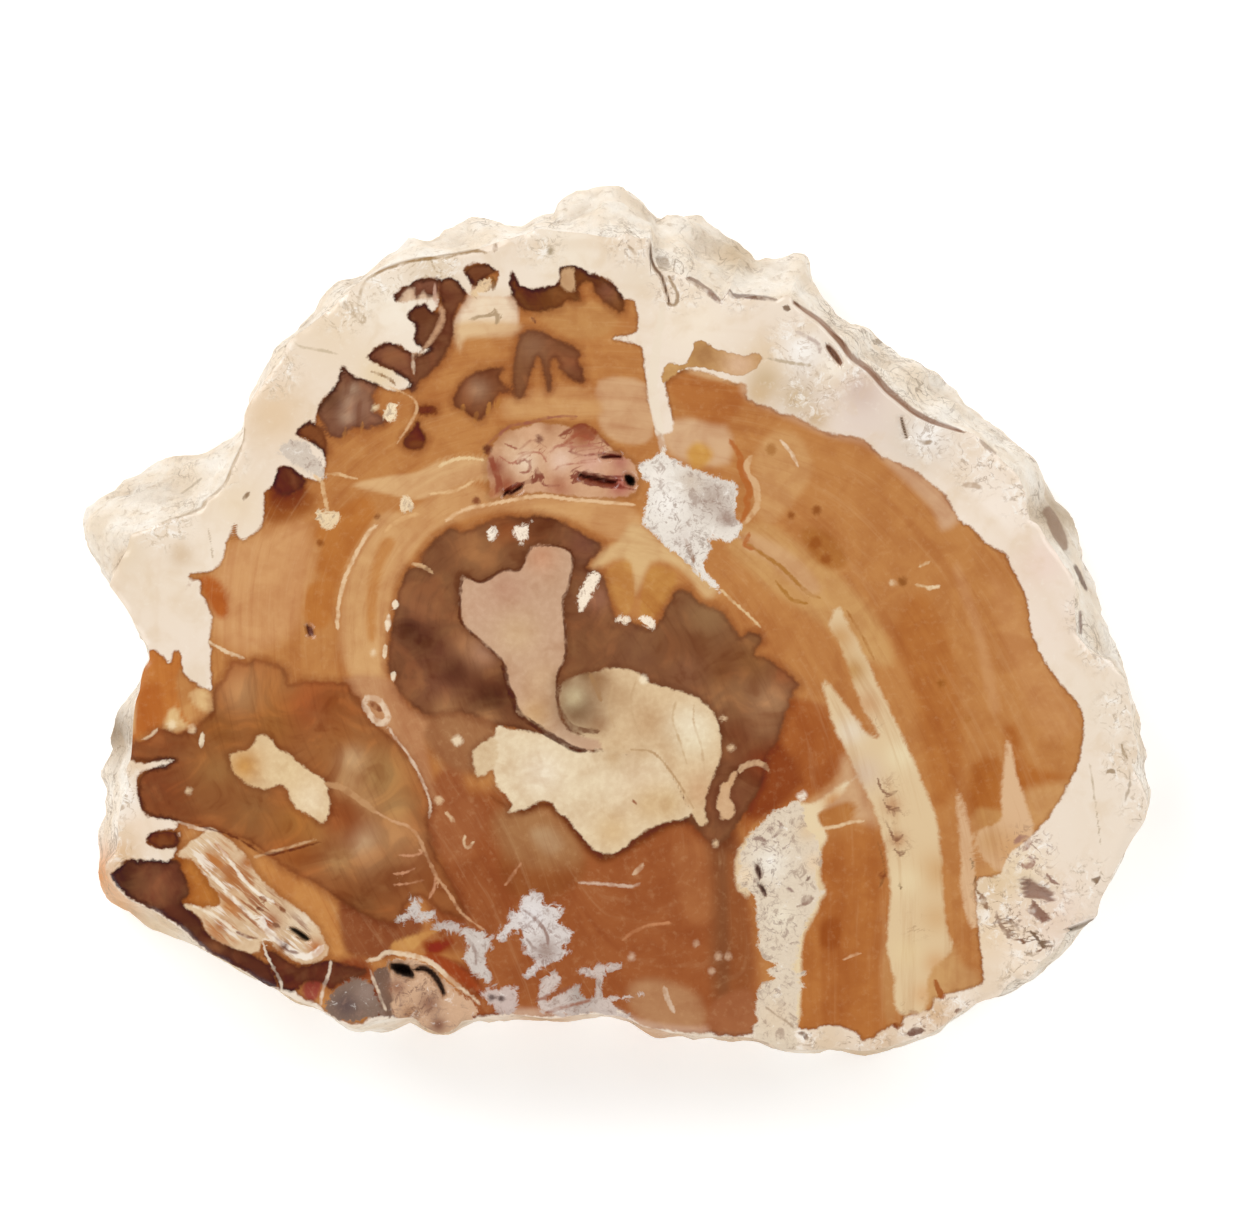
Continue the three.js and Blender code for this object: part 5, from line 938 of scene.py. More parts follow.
def slope_share(angle, t):
    """How far out the side has come at depth share t, 0 at the face and 1 at its widest: a
    quarter sine wave up to a depth that wavers with the angle, with ledges added to it."""
    widest_at = 0.64 + 0.1 * np.sin(5 * angle + 1) + 0.05 * np.sin(11 * angle)
    ledges = LEDGE_DEPTH * np.sin(math.pi * t) * np.sin(19 * t + 2 * np.sin(3 * angle))
    return np.minimum(1, np.sin(math.pi / 2 * np.minimum(1, t / widest_at)) + ledges)


def face_radius(angle):
    """Radius of the polished face's edge: the drawn one, kept inside the widest outline."""
    angle = wrapped(angle)
    widest = radius_at(OUTLINE_RING, angle) + CREST_OUT
    return np.minimum(radius_at(FACE_RING, angle), widest - LEAST_SLOPE)


def side_radius(angle, t):
    """Radius of the rough side at an angle and at depth share t: out from the face's edge by
    the slope's share of its width, in by the hollows, and tucked in near the back."""
    angle = wrapped(angle)
    widest = radius_at(OUTLINE_RING, angle) + CREST_OUT
    face = face_radius(angle)
    wide = np.minimum(1, (widest - face) / WIDE_SLOPE)
    depth = HOLLOW_DEPTH * (STEEP_ROUGHNESS + (1 - STEEP_ROUGHNESS) * wide)
    tuck = BASE_TUCK * np.maximum(0, (t - TUCK_FROM) / (1 - TUCK_FROM)) ** 2
    return face + (widest - face) * slope_share(angle, t) - depth * hollow(angle, t) - tuck


def on_ring(angle, radius):
    """Places x and y at an angle and radius around CENTRE."""
    return CENTRE + np.stack([radius * np.cos(angle), radius * np.sin(angle)], axis=-1)


def grain(points, size, seed):
    """Smooth random numbers from -1 to 1 in space, with lumps of the given size in mm: random
    numbers on a cubic lattice, blended between its eight corners by smooth steps."""
    lattice_size = 64
    lattice = np.random.default_rng(seed).uniform(-1, 1, (lattice_size,) * 3)
    scaled = points / size
    cell = np.floor(scaled).astype(int)
    share = smooth_step(0, 1, scaled - cell)
    total = np.zeros(points.shape[:-1])
    for corner in np.ndindex(2, 2, 2):
        weight = np.prod(np.where(np.array(corner) == 1, share, 1 - share), axis=-1)
        index = (cell + corner) % lattice_size
        total += weight * lattice[index[..., 0], index[..., 1], index[..., 2]]
    return total


def square_to_disc(count):
    """A square grid bent into a disc: squares round the middle become circles. Gives the radius
    share and the angle at each grid point."""
    line = np.linspace(-1, 1, count)
    a, b = np.meshgrid(line, line)
    wide = np.abs(a) >= np.abs(b)
    first = np.where(wide, a, b)
    second = np.where(wide, b, a)
    quarter = math.pi / 4 * second / np.where(first == 0, 1, first)
    angle = np.where(wide, quarter, math.pi / 2 - quarter)
    angle = np.where(first < 0, angle + math.pi, angle)
    return np.abs(first), angle


def flat_disc(count, edge):
    """Places of a square grid bent to fill the outline whose radius is edge(angle): near the
    middle its rings are circles, and outwards they take on the outline's shape."""
    share, angle = square_to_disc(count)
    rim = edge(wrapped(angle))
    middle = edge(np.linspace(-math.pi, math.pi, count)).mean()
    return on_ring(angle, share * (middle + (rim - middle) * share**2))


def rim_of(grid):
    """Numbers of a square grid's outer points, anticlockwise from its first corner."""
    return np.concatenate([grid[0, :-1], grid[:-1, -1], grid[-1, :0:-1], grid[:0:-1, 0]])


def grid_faces(grid):
    """Four-cornered faces of a grid of point numbers, anticlockwise seen from above."""
    return np.stack([grid[:-1, :-1], grid[:-1, 1:], grid[1:, 1:], grid[1:, :-1]], -1).reshape(-1, 4)


def band_faces(upper, lower):
    """Faces between two closed rings with the same number of points, seen from outside."""
    return np.stack([upper, lower, np.roll(lower, -1), np.roll(upper, -1)], -1)


def halving_faces(fine, coarse):
    """Three-cornered faces between a closed ring and one below it with half as many points."""
    left, middle, right = fine[0::2], fine[1::2], np.roll(fine[0::2], -1)
    below, below_next = coarse, np.roll(coarse, -1)
    corners = [(left, below, middle), (middle, below, below_next), (middle, below_next, right)]
    return np.concatenate([np.stack(three, -1) for three in corners])


def curve_through(points, closed):
    """Points of a smooth curve through the given ones: between two of them, a cubic whose slope
    at each is half the step between its neighbours."""
    pieces = 3
    p = np.array(points, float)
    if closed:
        longer = np.concatenate([p[-1:], p, p[:2]])
    else:
        longer = np.concatenate([[2 * p[0] - p[1]], p, [2 * p[-1] - p[-2]]])
    runs = longer[:-3], longer[1:-2], longer[2:-1], longer[3:]
    before, here, after, beyond = (run[:, None] for run in runs)
    t = (np.arange(pieces) / pieces)[None, :, None]
    curve = 0.5 * (2 * here + (after - before) * t
                   + (2 * before - 5 * here + 4 * after - beyond) * t**2
                   + (3 * here - before - 3 * after + beyond) * t**3)
    curve = curve.reshape(-1, 2)
    return curve if closed else np.concatenate([curve, p[-1:]])


def points_near(points, curve, reach):
    """Numbers of the points within the curve's box grown by a reach, and their x and y."""
    low, high = curve.min(0) - reach, curve.max(0) + reach
    near = np.nonzero(((points > low) & (points < high)).all(1))[0]
    return near, points[near, 0], points[near, 1]


def depth_inside(points, outline, reach=REACH):
    """Distance in mm from each point to a closed outline, positive inside and negative outside:
    the least distance to any of its sides, inside where a ray to the right crosses them an odd
    number of times."""
    curve = curve_through(outline, closed=True)
    depth = np.full(len(points), -reach)
    near, x, y = points_near(points, curve, reach)
    least = np.full(len(near), (4 * reach) ** 2)
    inside = np.zeros(len(near), bool)
    for (ax, ay), (bx, by) in zip(curve, np.roll(curve, -1, 0)):
        dx, dy = bx - ax, by - ay
        along = np.clip(((x - ax) * dx + (y - ay) * dy) / max(dx * dx + dy * dy, TINY**2), 0, 1)
        np.minimum(least, (x - ax - along * dx) ** 2 + (y - ay - along * dy) ** 2, out=least)
        if ay != by:
            inside ^= ((ay > y) != (by > y)) & (x < ax + (y - ay) / (by - ay) * dx)
    depth[near] = np.where(inside, 1, -1) * np.sqrt(least)
    return np.maximum(depth, -reach)


def depth_in_spot(points, centre, radius):
    """Distance in mm from each point to a round spot's edge, positive inside."""
    return radius - np.sqrt(((points - np.array(centre)) ** 2).sum(1))


def line_room(points, path, width):
    """For each point near a line: which side it is on and how far, in mm, and how much room the
    line has there. That is half its width in its middle, THIN_END of that at its ends, and
    less from fade_from on, and beyond the ends."""
    curve = curve_through(path, closed=False)
    fade_from = max(0.3, width / 2 + 0.1)
    fade = 2.2  # how fast the room goes beyond that
    near, x, y = points_near(points, curve, REACH)
    count = len(curve) - 1
    least = np.full(len(near), np.inf)
    side = np.zeros(len(near))
    room = np.full(len(near), -REACH)
    for i in range(count):
        (ax, ay), (bx, by) = curve[i], curve[i + 1]
        length = max(math.hypot(bx - ax, by - ay), TINY)
        dx, dy = (bx - ax) / length, (by - ay) / length
        along = (x - ax) * dx + (y - ay) * dy
        held = np.clip(along, 0, length)
        away = np.hypot(x - ax - held * dx, y - ay - held * dy)
        beyond = np.maximum(-along if i == 0 else 0, along - length if i == count - 1 else 0)
        share = (i + held / length) / count
        half = width / 2 * (THIN_END + (1 - THIN_END) * np.sqrt(np.sin(math.pi * share)))
        closer = away < least
        least = np.where(closer, away, least)
        turned = np.where((y - ay) * dx - (x - ax) * dy < 0, -1, 1)
        side = np.where(closer, turned * away, side)
        its_room = half - fade * np.maximum(away - fade_from, 0) - np.maximum(beyond, 0)
        room = np.where(closer, its_room, room)
    return near, side, room


def soft_tints(points, base, tints):
    """Colour at each point: the base, then each tint laid over it, full inside its outline and
    fading by a smooth step across its edge."""
    colour = np.tile(tone(base), (len(points), 1))
    for tint, softness, outline in tints:
        depth = depth_inside(points, outline, softness + 0.5)
        share = smooth_step(-softness / 2, softness / 2, depth)[:, None]
        colour += (tone(tint) - colour) * share
    return colour


def clouds(points, colour, tints):
    """The colour with round clouds laid over it, each strongest at its centre and fading away
    as the bell curve exp(-d * d) of the distance d in radii."""
    for tint, centre, radius in tints:
        away = ((points - np.array(centre)) ** 2).sum(1) / radius**2
        colour = colour + (tone(tint) - colour) * np.exp(-away)[:, None]
    return colour


def deepest(points, marks, depth_of):
    """Depth inside the nearest of several marks, and that one's colour. A mark is its colour
    and its form, of which depth_of gives the depth."""
    depth = np.full(len(points), -REACH)
    colour = np.tile(tone(marks[0][0]), (len(points), 1))
    for tint, *form in marks:
        inside = depth_of(points, *form)
        nearer = inside > depth
        depth = np.where(nearer, inside, depth)
        colour[nearer] = tone(tint)
    return depth, colour


def strokes(points, marks):
    """Side, room and colour of the nearest of several lines."""
    side = np.full(len(points), REACH)
    room = np.full(len(points), -REACH)
    colour = np.tile(tone(marks[0][0]), (len(points), 1))
    for tint, width, path in marks:
        near, its_side, its_room = line_room(points, path, width)
        nearer = its_room - np.abs(its_side) > room[near] - np.abs(side[near])
        chosen = near[nearer]
        side[chosen] = its_side[nearer]
        room[chosen] = its_room[nearer]
        colour[chosen] = tone(tint)
    return side, room, colour


def growth_places(points):
    """A place for each point in which growth bands are flat layers: first the distance from the
    pith over that of the GROWTH line on the same bearing, then the bearing as a place on a
    circle. It is scaled so that a pattern of a few millimetres is short across the bands and
    long along them."""
    across_mm, along_mm = 25, 3
    bearing, away = bearing_and_distance(points, PITH)
    share = away / radius_at(GROWTH_RING, bearing)
    return MM * np.stack([across_mm * share, along_mm * np.cos(bearing),
                          along_mm * np.sin(bearing)], axis=1)


def openings(points):
    """How deep the pits and cracks go at each point, in mm, how open they are, 0 to 1, and
    their colour inside: the stone's brown, and in the darkest ones painted shade of their depth."""
    depth = np.zeros(len(points))
    openness = np.zeros(len(points))
    colour = np.zeros((len(points), 3))
    wall = 0.7  # pits reach their floor this far in from their edge
    for pit_depth, tint, outline in PITS:
        inside = depth_inside(points, outline)
        depth = np.maximum(depth, pit_depth * smooth_step(-0.15, wall, inside))
        openness = np.maximum(openness, smooth_step(-0.1, 0.35, inside))
        # inside a pit its colour, near black in the deep holes as painted shade
        colour[inside > -1] = tone(tint)
    for width, crack_depth, tint, path in CRACKS:
        near, side, room = line_room(points, path, width)
        inside = room - np.abs(side)
        depth[near] = np.maximum(depth[near], crack_depth * smooth_step(-0.25, width / 2, inside))
        openness[near] = np.maximum(openness[near], smooth_step(-0.15, 0.25, inside))
        # inside a crack its brown, the darkest ones with painted shade
        colour[near[inside > -1]] = tone(tint)
    return depth, openness, colour


def markings(places):
    """Depths, rooms, shares and colours of all markings at places on the face, by the names
    under which the materials read them."""
    kept_values = {"wood_tone": soft_tints(places, AMBER, WOOD_TINTS)}
    for name, marks, tints in (("pale", PALE_WOOD, PALE_WOOD_CLOUDS),
                               ("smoky", SMOKY, SMOKY_CLOUDS),
                               ("fossil", FOSSIL, FOSSIL_CLOUDS)):
        kept_values[name], colour = deepest(places, marks, depth_inside)
        kept_values[name + "_tone"] = clouds(places, colour, tints)

    quartz, quartz_tone = deepest(places, QUARTZ, depth_inside)
    frost, frost_tone = deepest(places, FROST, depth_inside)
    frost *= FROST_DEPTH
    quartz_tone[frost > quartz] = frost_tone[frost > quartz]
    kept_values["quartz"] = np.maximum(quartz, frost)
    kept_values["quartz_tone"] = clouds(places, quartz_tone, QUARTZ_CLOUDS)

    for name, marks, soft in (("mottle", MOTTLES, 1.5), ("fibrous", FIBRES, 1)):
        depth, kept_values[name + "_tone"] = deepest(places, marks, depth_in_spot)
        kept_values[name] = smooth_step(-soft, soft, depth)
    kept_values["spot"], kept_values["spot_tone"] = deepest(places, SPOTS, depth_in_spot)
    for name, base, tints in (("rind_tone", RIND, RIND_CLOUDS), ("skin_tone", SKIN, SKIN_CLOUDS)):
        kept_values[name] = clouds(places, np.tile(tone(base), (len(places), 1)), tints)
    for name, marks in (("vein", VEINS), ("line", LINES)):
        found = strokes(places, marks)
        kept_values |= dict(zip((name + "_side", name + "_room", name + "_tone"), found))
    islands = [depth_inside(places, outline) for outline in (HEART, *HEART_ISLANDS)]
    kept_values["heart"] = np.max(islands, axis=0)
    return kept_values


def side_surface():
    """Points of the side, AROUND by DOWN - 1 of them, and how far each lies in a hollow. They
    follow side_radius, roughened by grain that is stronger where the side slopes."""
    start = -3 * math.pi / 4  # the first corner of the bent grids
    angle = start + 2 * math.pi * np.arange(AROUND) / AROUND
    t = (np.arange(1, DOWN) / DOWN) ** ROW_CROWDING
    angles, depths = np.meshgrid(angle, t)
    radius = side_radius(angles, depths)
    height = THICKNESS * (1 - depths)
    smooth = np.concatenate([on_ring(angles, radius), height[..., None]], axis=-1)
    rough = sum(share * grain(smooth, size, seed) for share, size, seed in SKIN_GRAIN)
    fade = np.sqrt(np.sin(math.pi * depths))
    slope_width = radius_at(OUTLINE_RING, wrapped(angles)) - face_radius(angles)
    sloping = np.minimum(1, slope_width / ROUGH_SLOPE)
    radius = radius + rough * fade * (STEEP_GRAIN + (1 - STEEP_GRAIN) * sloping)
    height = height + 0.8 * sloping * fade * grain(smooth, 2.4, 6)
    points = np.concatenate([on_ring(angles, radius), height[..., None]], axis=-1)
    recess = fade * smooth_step(-0.1, 0.55, hollow(angles, depths) - 0.5 - 0.6 * rough)
    return points.reshape(-1, 3), recess.ravel()


def face_surface():
    """Points of the polished face, a bent grid let down a little at its edge by uneven chips."""
    flat = flat_disc(FACE_GRID, face_radius).reshape(-1, 2)
    points = np.column_stack([flat, np.full(len(flat), THICKNESS)])
    angle, away = bearing_and_distance(flat, CENTRE)
    least_wear, chip_depth, worn_width = 0.05, 0.3, 0.7
    chips = 0.5 + 0.5 * grain(points, 1.6, 8)
    worn = smooth_step(worn_width, 0, face_radius(angle) - away)
    points[:, 2] -= (least_wear + chip_depth * chips) * worn
    return points


def slice_faces():
    """Faces of the whole slice, by the number of their material: the face's grid, the side with
    its two joins, and the back's coarser grid, seen from below."""
    face_end = FACE_GRID**2
    side_end = face_end + AROUND * (DOWN - 1)
    face = np.arange(face_end).reshape(FACE_GRID, FACE_GRID)
    side = np.arange(face_end, side_end).reshape(DOWN - 1, AROUND)
    back = side_end + np.arange(BACK_GRID**2).reshape(BACK_GRID, BACK_GRID)
    bands = [band_faces(upper, lower) for upper, lower in zip(side[:-1], side[1:])]
    return [
        (grid_faces(face), 0),
        (halving_faces(rim_of(face), side[0]), 1),
        (np.concatenate(bands), 1),
        (halving_faces(side[-1], rim_of(back)), 1),
        (grid_faces(back)[:, ::-1], 2),
    ]


def slice_surface():
    """Points in mm of the whole slice, and the values that the materials read at them. The pits
    and cracks are let into the face, and into the side where they reach it."""
    face = face_surface()
    side, recess = side_surface()
    back = flat_disc(BACK_GRID, lambda angle: side_radius(angle, np.ones_like(angle)))
    back = np.column_stack([back.reshape(-1, 2), np.zeros(BACK_GRID**2)])
    points = np.concatenate([face, side, back])
    places = points[:, :2].copy()
    depth, openness, open_colour_and_shade = openings(places)
    side_end = len(face) + len(side)
    open_here = (depth > 0) & (np.arange(len(points)) < side_end)
    points[open_here, 2] = np.minimum(points[open_here, 2], THICKNESS - depth[open_here])
    values = markings(places)
    # the colour inside the pits and cracks, partly their own brown and partly painted shade
    values["openness"], values["open_colour_and_shade"] = openness, open_colour_and_shade
    # how far each point of the side lies in a hollow, which the skin darkens as painted shade
    values["recess"] = np.zeros(len(points))
    values["recess"][len(face):side_end] = recess
    return points, growth_places(places), values


def hidden_shift():
    """How far the part's own solid was moved to bring the middle of its box to the origin."""
    angle = -math.pi + 2 * math.pi * (np.arange(PART_AROUND) + 0.5) / PART_AROUND
    t = np.arange(PART_DOWN + 1) / PART_DOWN
    angles, depths = np.meshgrid(angle, t)
    places = on_ring(angles, side_radius(angles, depths)).reshape(-1, 2)
    return -(places.min(0) + places.max(0)) / 2


def store(mesh, name, values):
    """Keeps a number or a colour for each point of the mesh under a name for the material."""
    if values.ndim == 1:
        held = mesh.attributes.new(name, "FLOAT", "POINT")
        held.data.foreach_set("value", values.astype(np.float32))
    else:
        held = mesh.attributes.new(name, "FLOAT_COLOR", "POINT")
        full = np.column_stack([values, np.ones(len(values))])
        held.data.foreach_set("color", full.astype(np.float32).ravel())


def linked(name, data):
    """A new object at the origin that shows the data in the scene."""
    thing = bpy.data.objects.new(name, data)
    bpy.context.scene.collection.objects.link(thing)
    return thing


def build_slice(materials):
    """The slice as one closed mesh in metres, with its markings kept at its points."""
    points, growth, values = slice_surface()
    points[:, :2] += hidden_shift()
    low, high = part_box(NODE)
    metres = np.clip(points * MM, np.array(low), np.array(high))

    name = "petrified_wood_slice_surface"
    mesh = bpy.data.meshes.new(name)
    groups = slice_faces()
    mesh.from_pydata(metres.tolist(), [], [face for group, _ in groups for face in group.tolist()])
    slots = np.concatenate([np.full(len(group), slot) for group, slot in groups])
    for material in materials:
        mesh.materials.append(material)
    mesh.polygons.foreach_set("material_index", slots.astype(np.int32))
    mesh.polygons.foreach_set("use_smooth", np.ones(len(slots), bool))
    mesh.set_sharp_from_angle(angle=math.radians(SHARP_DEGREES))
    for title, numbers in values.items():
        store(mesh, title, numbers)
    held = mesh.attributes.new("growth", "FLOAT_VECTOR", "POINT")
    held.data.foreach_set("vector", growth.astype(np.float32).ravel())
    mesh.update()
    return linked(name, mesh)


def feed(tree, node, inputs):
    """Gives a node's inputs a number, a colour or another node's socket each."""
    for socket, value in inputs.items():
        if isinstance(value, bpy.types.NodeSocket):
            tree.links.new(value, node.inputs[socket])
        elif isinstance(value, np.ndarray):
            node.inputs[socket].default_value = (*value, 1)
        else:
            node.inputs[socket].default_value = value


def add(tree, kind, inputs=None, **settings):
    """Adds a node with its settings and inputs."""
    made = tree.nodes.new(kind)
    for name, value in settings.items():
        setattr(made, name, value)
    feed(tree, made, inputs or {})
    return made


def finish_named(name):
    """A new material with its node tree and its Principled shader."""
    material = bpy.data.materials.new(name)
    material.use_nodes = True
    tree = material.node_tree
    return material, tree, tree.nodes["Principled BSDF"]


def kept(tree, name, output="Fac"):
    """The socket of a number, or with another output a colour, kept at the mesh's points."""
    return add(tree, "ShaderNodeAttribute", attribute_name=name).outputs[output]


def maths(tree, operation, a, b=0.0):
    """The socket of a Math node's operation on one or two numbers."""
    return add(tree, "ShaderNodeMath", {0: a, 1: b}, operation=operation).outputs[0]


def times(tree, a, b):
    """The socket of the product of two numbers."""
    return maths(tree, "MULTIPLY", a, b)


def step(tree, value, low, high, start=0.0, end=1.0):
    """The socket of a smooth step of a number, from start below low to end above high."""
    made = add(tree, "ShaderNodeMapRange", {"Value": value, "From Min": low, "From Max": high,
                                            "To Min": start, "To Max": end},
               interpolation_type="SMOOTHSTEP")
    return made.outputs["Result"]


def blend(tree, share, under, over, how="MIX"):
    """The socket of a colour laid over another by a share. The one laid over it is a hex
    colour, an array or a socket."""
    over = tone(over) if isinstance(over, str) else over
    made = add(tree, "ShaderNodeMix", {0: share, 6: under, 7: over}, data_type="RGBA", blend_type=how)
    return made.outputs[2]


def layered(tree, colour, layers):
    """The socket of a colour with layers laid over it in turn. Each layer is the number that it
    follows, the two values between which its share goes from the first to the second of the
    next two by a smooth step, what is laid, and MIX or MULTIPLY."""
    for value, low, high, start, end, over, how in layers:
        colour = blend(tree, step(tree, value, low, high, start, end), colour, over, how)
    return colour


def cells_per_metre(size_mm):
    """Scale of a pattern whose lumps are size_mm across, on coordinates in metres."""
    return 1 / (size_mm * MM)


def noise(tree, where, size_mm, detail=2.0, roughness=0.5, distortion=0.0):
    """The socket of smooth noise from 0 to 1 with lumps of a size in mm."""
    made = add(tree, "ShaderNodeTexNoise", {"Vector": where, "Scale": cells_per_metre(size_mm),
                                            "Detail": detail, "Roughness": roughness,
                                            "Distortion": distortion})
    return made.outputs["Fac"]


def even_noise(tree, where, size_mm, detail, roughness, distortion=0.0):
    """The socket of the same noise, from -0.5 to 0.5."""
    return maths(tree, "SUBTRACT", noise(tree, where, size_mm, detail, roughness, distortion), 0.5)


def crack_net(tree, where, size_mm, roughness, distortion, width, share):
    """The socket of a net of wandering cracks: where even noise is near nothing, the share is
    full, and it is none a width away."""
    winding = even_noise(tree, where, size_mm, 4, roughness, distortion)
    return step(tree, maths(tree, "ABSOLUTE", winding), 0.0, width, share, 0.0)


def stroke_room(tree, name):
    """The socket of how deep inside the veins or lines a point lies, in mm."""
    away = maths(tree, "ABSOLUTE", kept(tree, name + "_side"))
    return maths(tree, "SUBTRACT", kept(tree, name + "_room"), away)


def frayed(tree, name, rough, amount_mm):
    """The socket of a marking's depth with a rough noise of some millimetres added."""
    return maths(tree, "ADD", kept(tree, name), times(tree, rough, amount_mm))


class Patterns:
    """What the markings of one material share: its noises and the depths inside the markings,
    each depth made ragged by fine noise. All of them are sockets of its node tree."""

    def __init__(self, tree, where, ragged_mm):
        growth = kept(tree, "growth", "Vector")
        self.bands = noise(tree, growth, 0.8, 4, 0.62, 0.15)
        self.wide_bands = noise(tree, growth, 3.6, 2, 0.5, 0.3)
        self.ragged = even_noise(tree, where, 0.9, 3, 0.65)
        self.frosty = even_noise(tree, where, 1.3, 5, 0.75, 0.6)
        self.fine = noise(tree, where, 0.7, 3, 0.6)
        self.broad = noise(tree, where, 3.2, 3, 0.55, 0.4)
        self.heart = frayed(tree, "heart", self.ragged, ragged_mm)
        self.smoky = frayed(tree, "smoky", self.ragged, ragged_mm)
        self.fossil = frayed(tree, "fossil", self.ragged, ragged_mm)
        self.quartz = frayed(tree, "quartz", self.frosty, 2.5)
        self.pale = frayed(tree, "pale", self.frosty, 1.1)
        self.spot = frayed(tree, "spot", self.frosty, 1)


def amber_wood(tree, seen, banded):
    """Amber wood, faintly streaked along its growth bands, clouded and finely flecked. Its light
    parts darken towards the rind, pale wood lies in it where banded says so, and it is
    rusty round the smoky chalcedony."""
    wood = layered(tree, kept(tree, "wood_tone", "Color"), (
        (seen.broad, 0.35, 0.7, 0.0, 0.25, "#c27a3c", "MULTIPLY"),
        (seen.wide_bands, 0.5, 0.66, 0.0, 0.2, "#c9824a", "MULTIPLY"),
        (seen.bands, 0.5, 0.72, 0.0, 0.15, "#c2793f", "MULTIPLY"),
        (seen.bands, 0.28, 0.46, 0.08, 0.0, "#ecc795", "MIX"),
        (seen.fine, 0.5, 0.8, 0.0, 0.14, "#e0b483", "MIX"),
    ))
    light = step(tree, add(tree, "ShaderNodeRGBToBW", {0: wood}).outputs[0], 0.27, 0.4, 1.0, 0.0)
    fringe = times(tree, step(tree, seen.heart, 0.0, 0.45, 0.45, 0.0), light)
    wood = blend(tree, fringe, wood, "#8a5526", "MULTIPLY")
    pale_wood = layered(tree, kept(tree, "pale_tone", "Color"), (
        (seen.bands, 0.48, 0.68, 0.0, 0.26, "#d0a880", "MULTIPLY"),
    ))
    wood = blend(tree, banded, wood, pale_wood)
    return layered(tree, wood, ((seen.smoky, -1.1, -0.1, 0.0, 0.4, "#a8622e", "MULTIPLY"),))


def smoky_chalcedony(tree, where, seen):
    """Cloudy brown chalcedony, amber near its edge and near black where it meets the rind."""
    veils = noise(tree, where, 5.5, 3, 0.5, 1.4)
    veil_light = np.array([1.28, 1.26, 1.2])
    return layered(tree, kept(tree, "smoky_tone", "Color"), (
        (seen.broad, 0.42, 0.72, 0.0, 0.16, "#a87c4e", "MIX"),
        (veils, 0.48, 0.68, 0.0, 1.0, veil_light, "MULTIPLY"),
        (veils, 0.32, 0.48, 0.4, 0.0, "#c08a68", "MULTIPLY"),
        (seen.bands, 0.5, 0.72, 0.0, 0.16, "#9a5a38", "MULTIPLY"),
        (seen.smoky, -0.1, 0.7, 0.45, 0.0, "#9a4a1c", "MULTIPLY"),
        (seen.heart, 0.0, 0.65, 0.85, 0.0, "#2c0d06", "MIX"),
    ))


def fossil_wood(tree, where, seen):
    """Cream and tan wood turned to stone with its grain kept: clouded and, in the wedge at the
    lower left, streaked by threads that lie at 40 degrees and are 7 times as long as wide."""
    fossil = layered(tree, kept(tree, "fossil_tone", "Color"), (
        (seen.fine, 0.35, 0.75, 0.16, 0.0, "#b98d60", "MULTIPLY"),
        (seen.broad, 0.45, 0.7, 0.0, 0.25, "#c8a074", "MULTIPLY"),
    ))
    along = add(tree, "ShaderNodeMapping", {"Vector": where, "Rotation": (0, 0, math.radians(-40)),
                                            "Scale": (7, 1, 1)}, vector_type="TEXTURE").outputs[0]
    threads = noise(tree, along, 0.7, 3, 0.6)
    fibrous = kept(tree, "fibrous")
    streaks = times(tree, step(tree, threads, 0.5, 0.6, 0.0, 0.85), fibrous)
    fossil = blend(tree, streaks, fossil, kept(tree, "fibrous_tone", "Color"))
    glassy = times(tree, step(tree, threads, 0.34, 0.44, 0.7, 0.0), fibrous)
    return blend(tree, glassy, fossil, "#f3e8d8")


def cream_rind(tree, seen, mottle):
    """The cream rind of the log, softly mottled, and chalky white among its nets of cracks."""
    rind = layered(tree, kept(tree, "rind_tone", "Color"), (
        (seen.broad, 0.45, 0.75, 0.0, 0.4, "#dabf9c", "MIX"),
        (seen.wide_bands, 0.5, 0.7, 0.0, 0.3, "#e0c8ac", "MIX"),
        (seen.fine, 0.55, 0.85, 0.0, 0.3, "#f8efe2", "MIX"),
    ))
    chalk = times(tree, step(tree, seen.frosty, -0.16, 0.02, 0.7, 0.0), mottle)
    return blend(tree, chalk, rind, "#fbf6ee")


def frosty_quartz(tree, seen):
    """White quartz with violet-brown gaps between its crystals, and painted glints on them."""
    return layered(tree, kept(tree, "quartz_tone", "Color"), (
        (seen.frosty, 0.02, 0.16, 0.0, 0.55, "#8d6d5c", "MIX"),
        # painted glints: white patches standing in for light caught by the crystals
        (seen.frosty, -0.2, -0.06, 0.5, 0.0, "#fbf5ec", "MIX"),
    ))


def with_strokes(tree, where, seen, colour):
    """The colour with veins and lines over it, here and there fading out, and with spots."""
    faded = step(tree, noise(tree, where, 1.7, 2, 0.6), 0.36, 0.54, 0.4, 1.0)
    for name, over in (("vein", 0.8), ("line", 0.85)):
        room = maths(tree, "ADD", stroke_room(tree, name), times(tree, seen.ragged, 0.6))
        share = times(tree, step(tree, room, -0.16, 0.16, 0.0, over), faded)
        colour = blend(tree, share, colour, kept(tree, name + "_tone", "Color"))
    spot_tone = kept(tree, "spot_tone", "Color")
    return layered(tree, colour, ((seen.spot, -0.3, 0.3, 0.0, 0.85, spot_tone, "MIX"),))


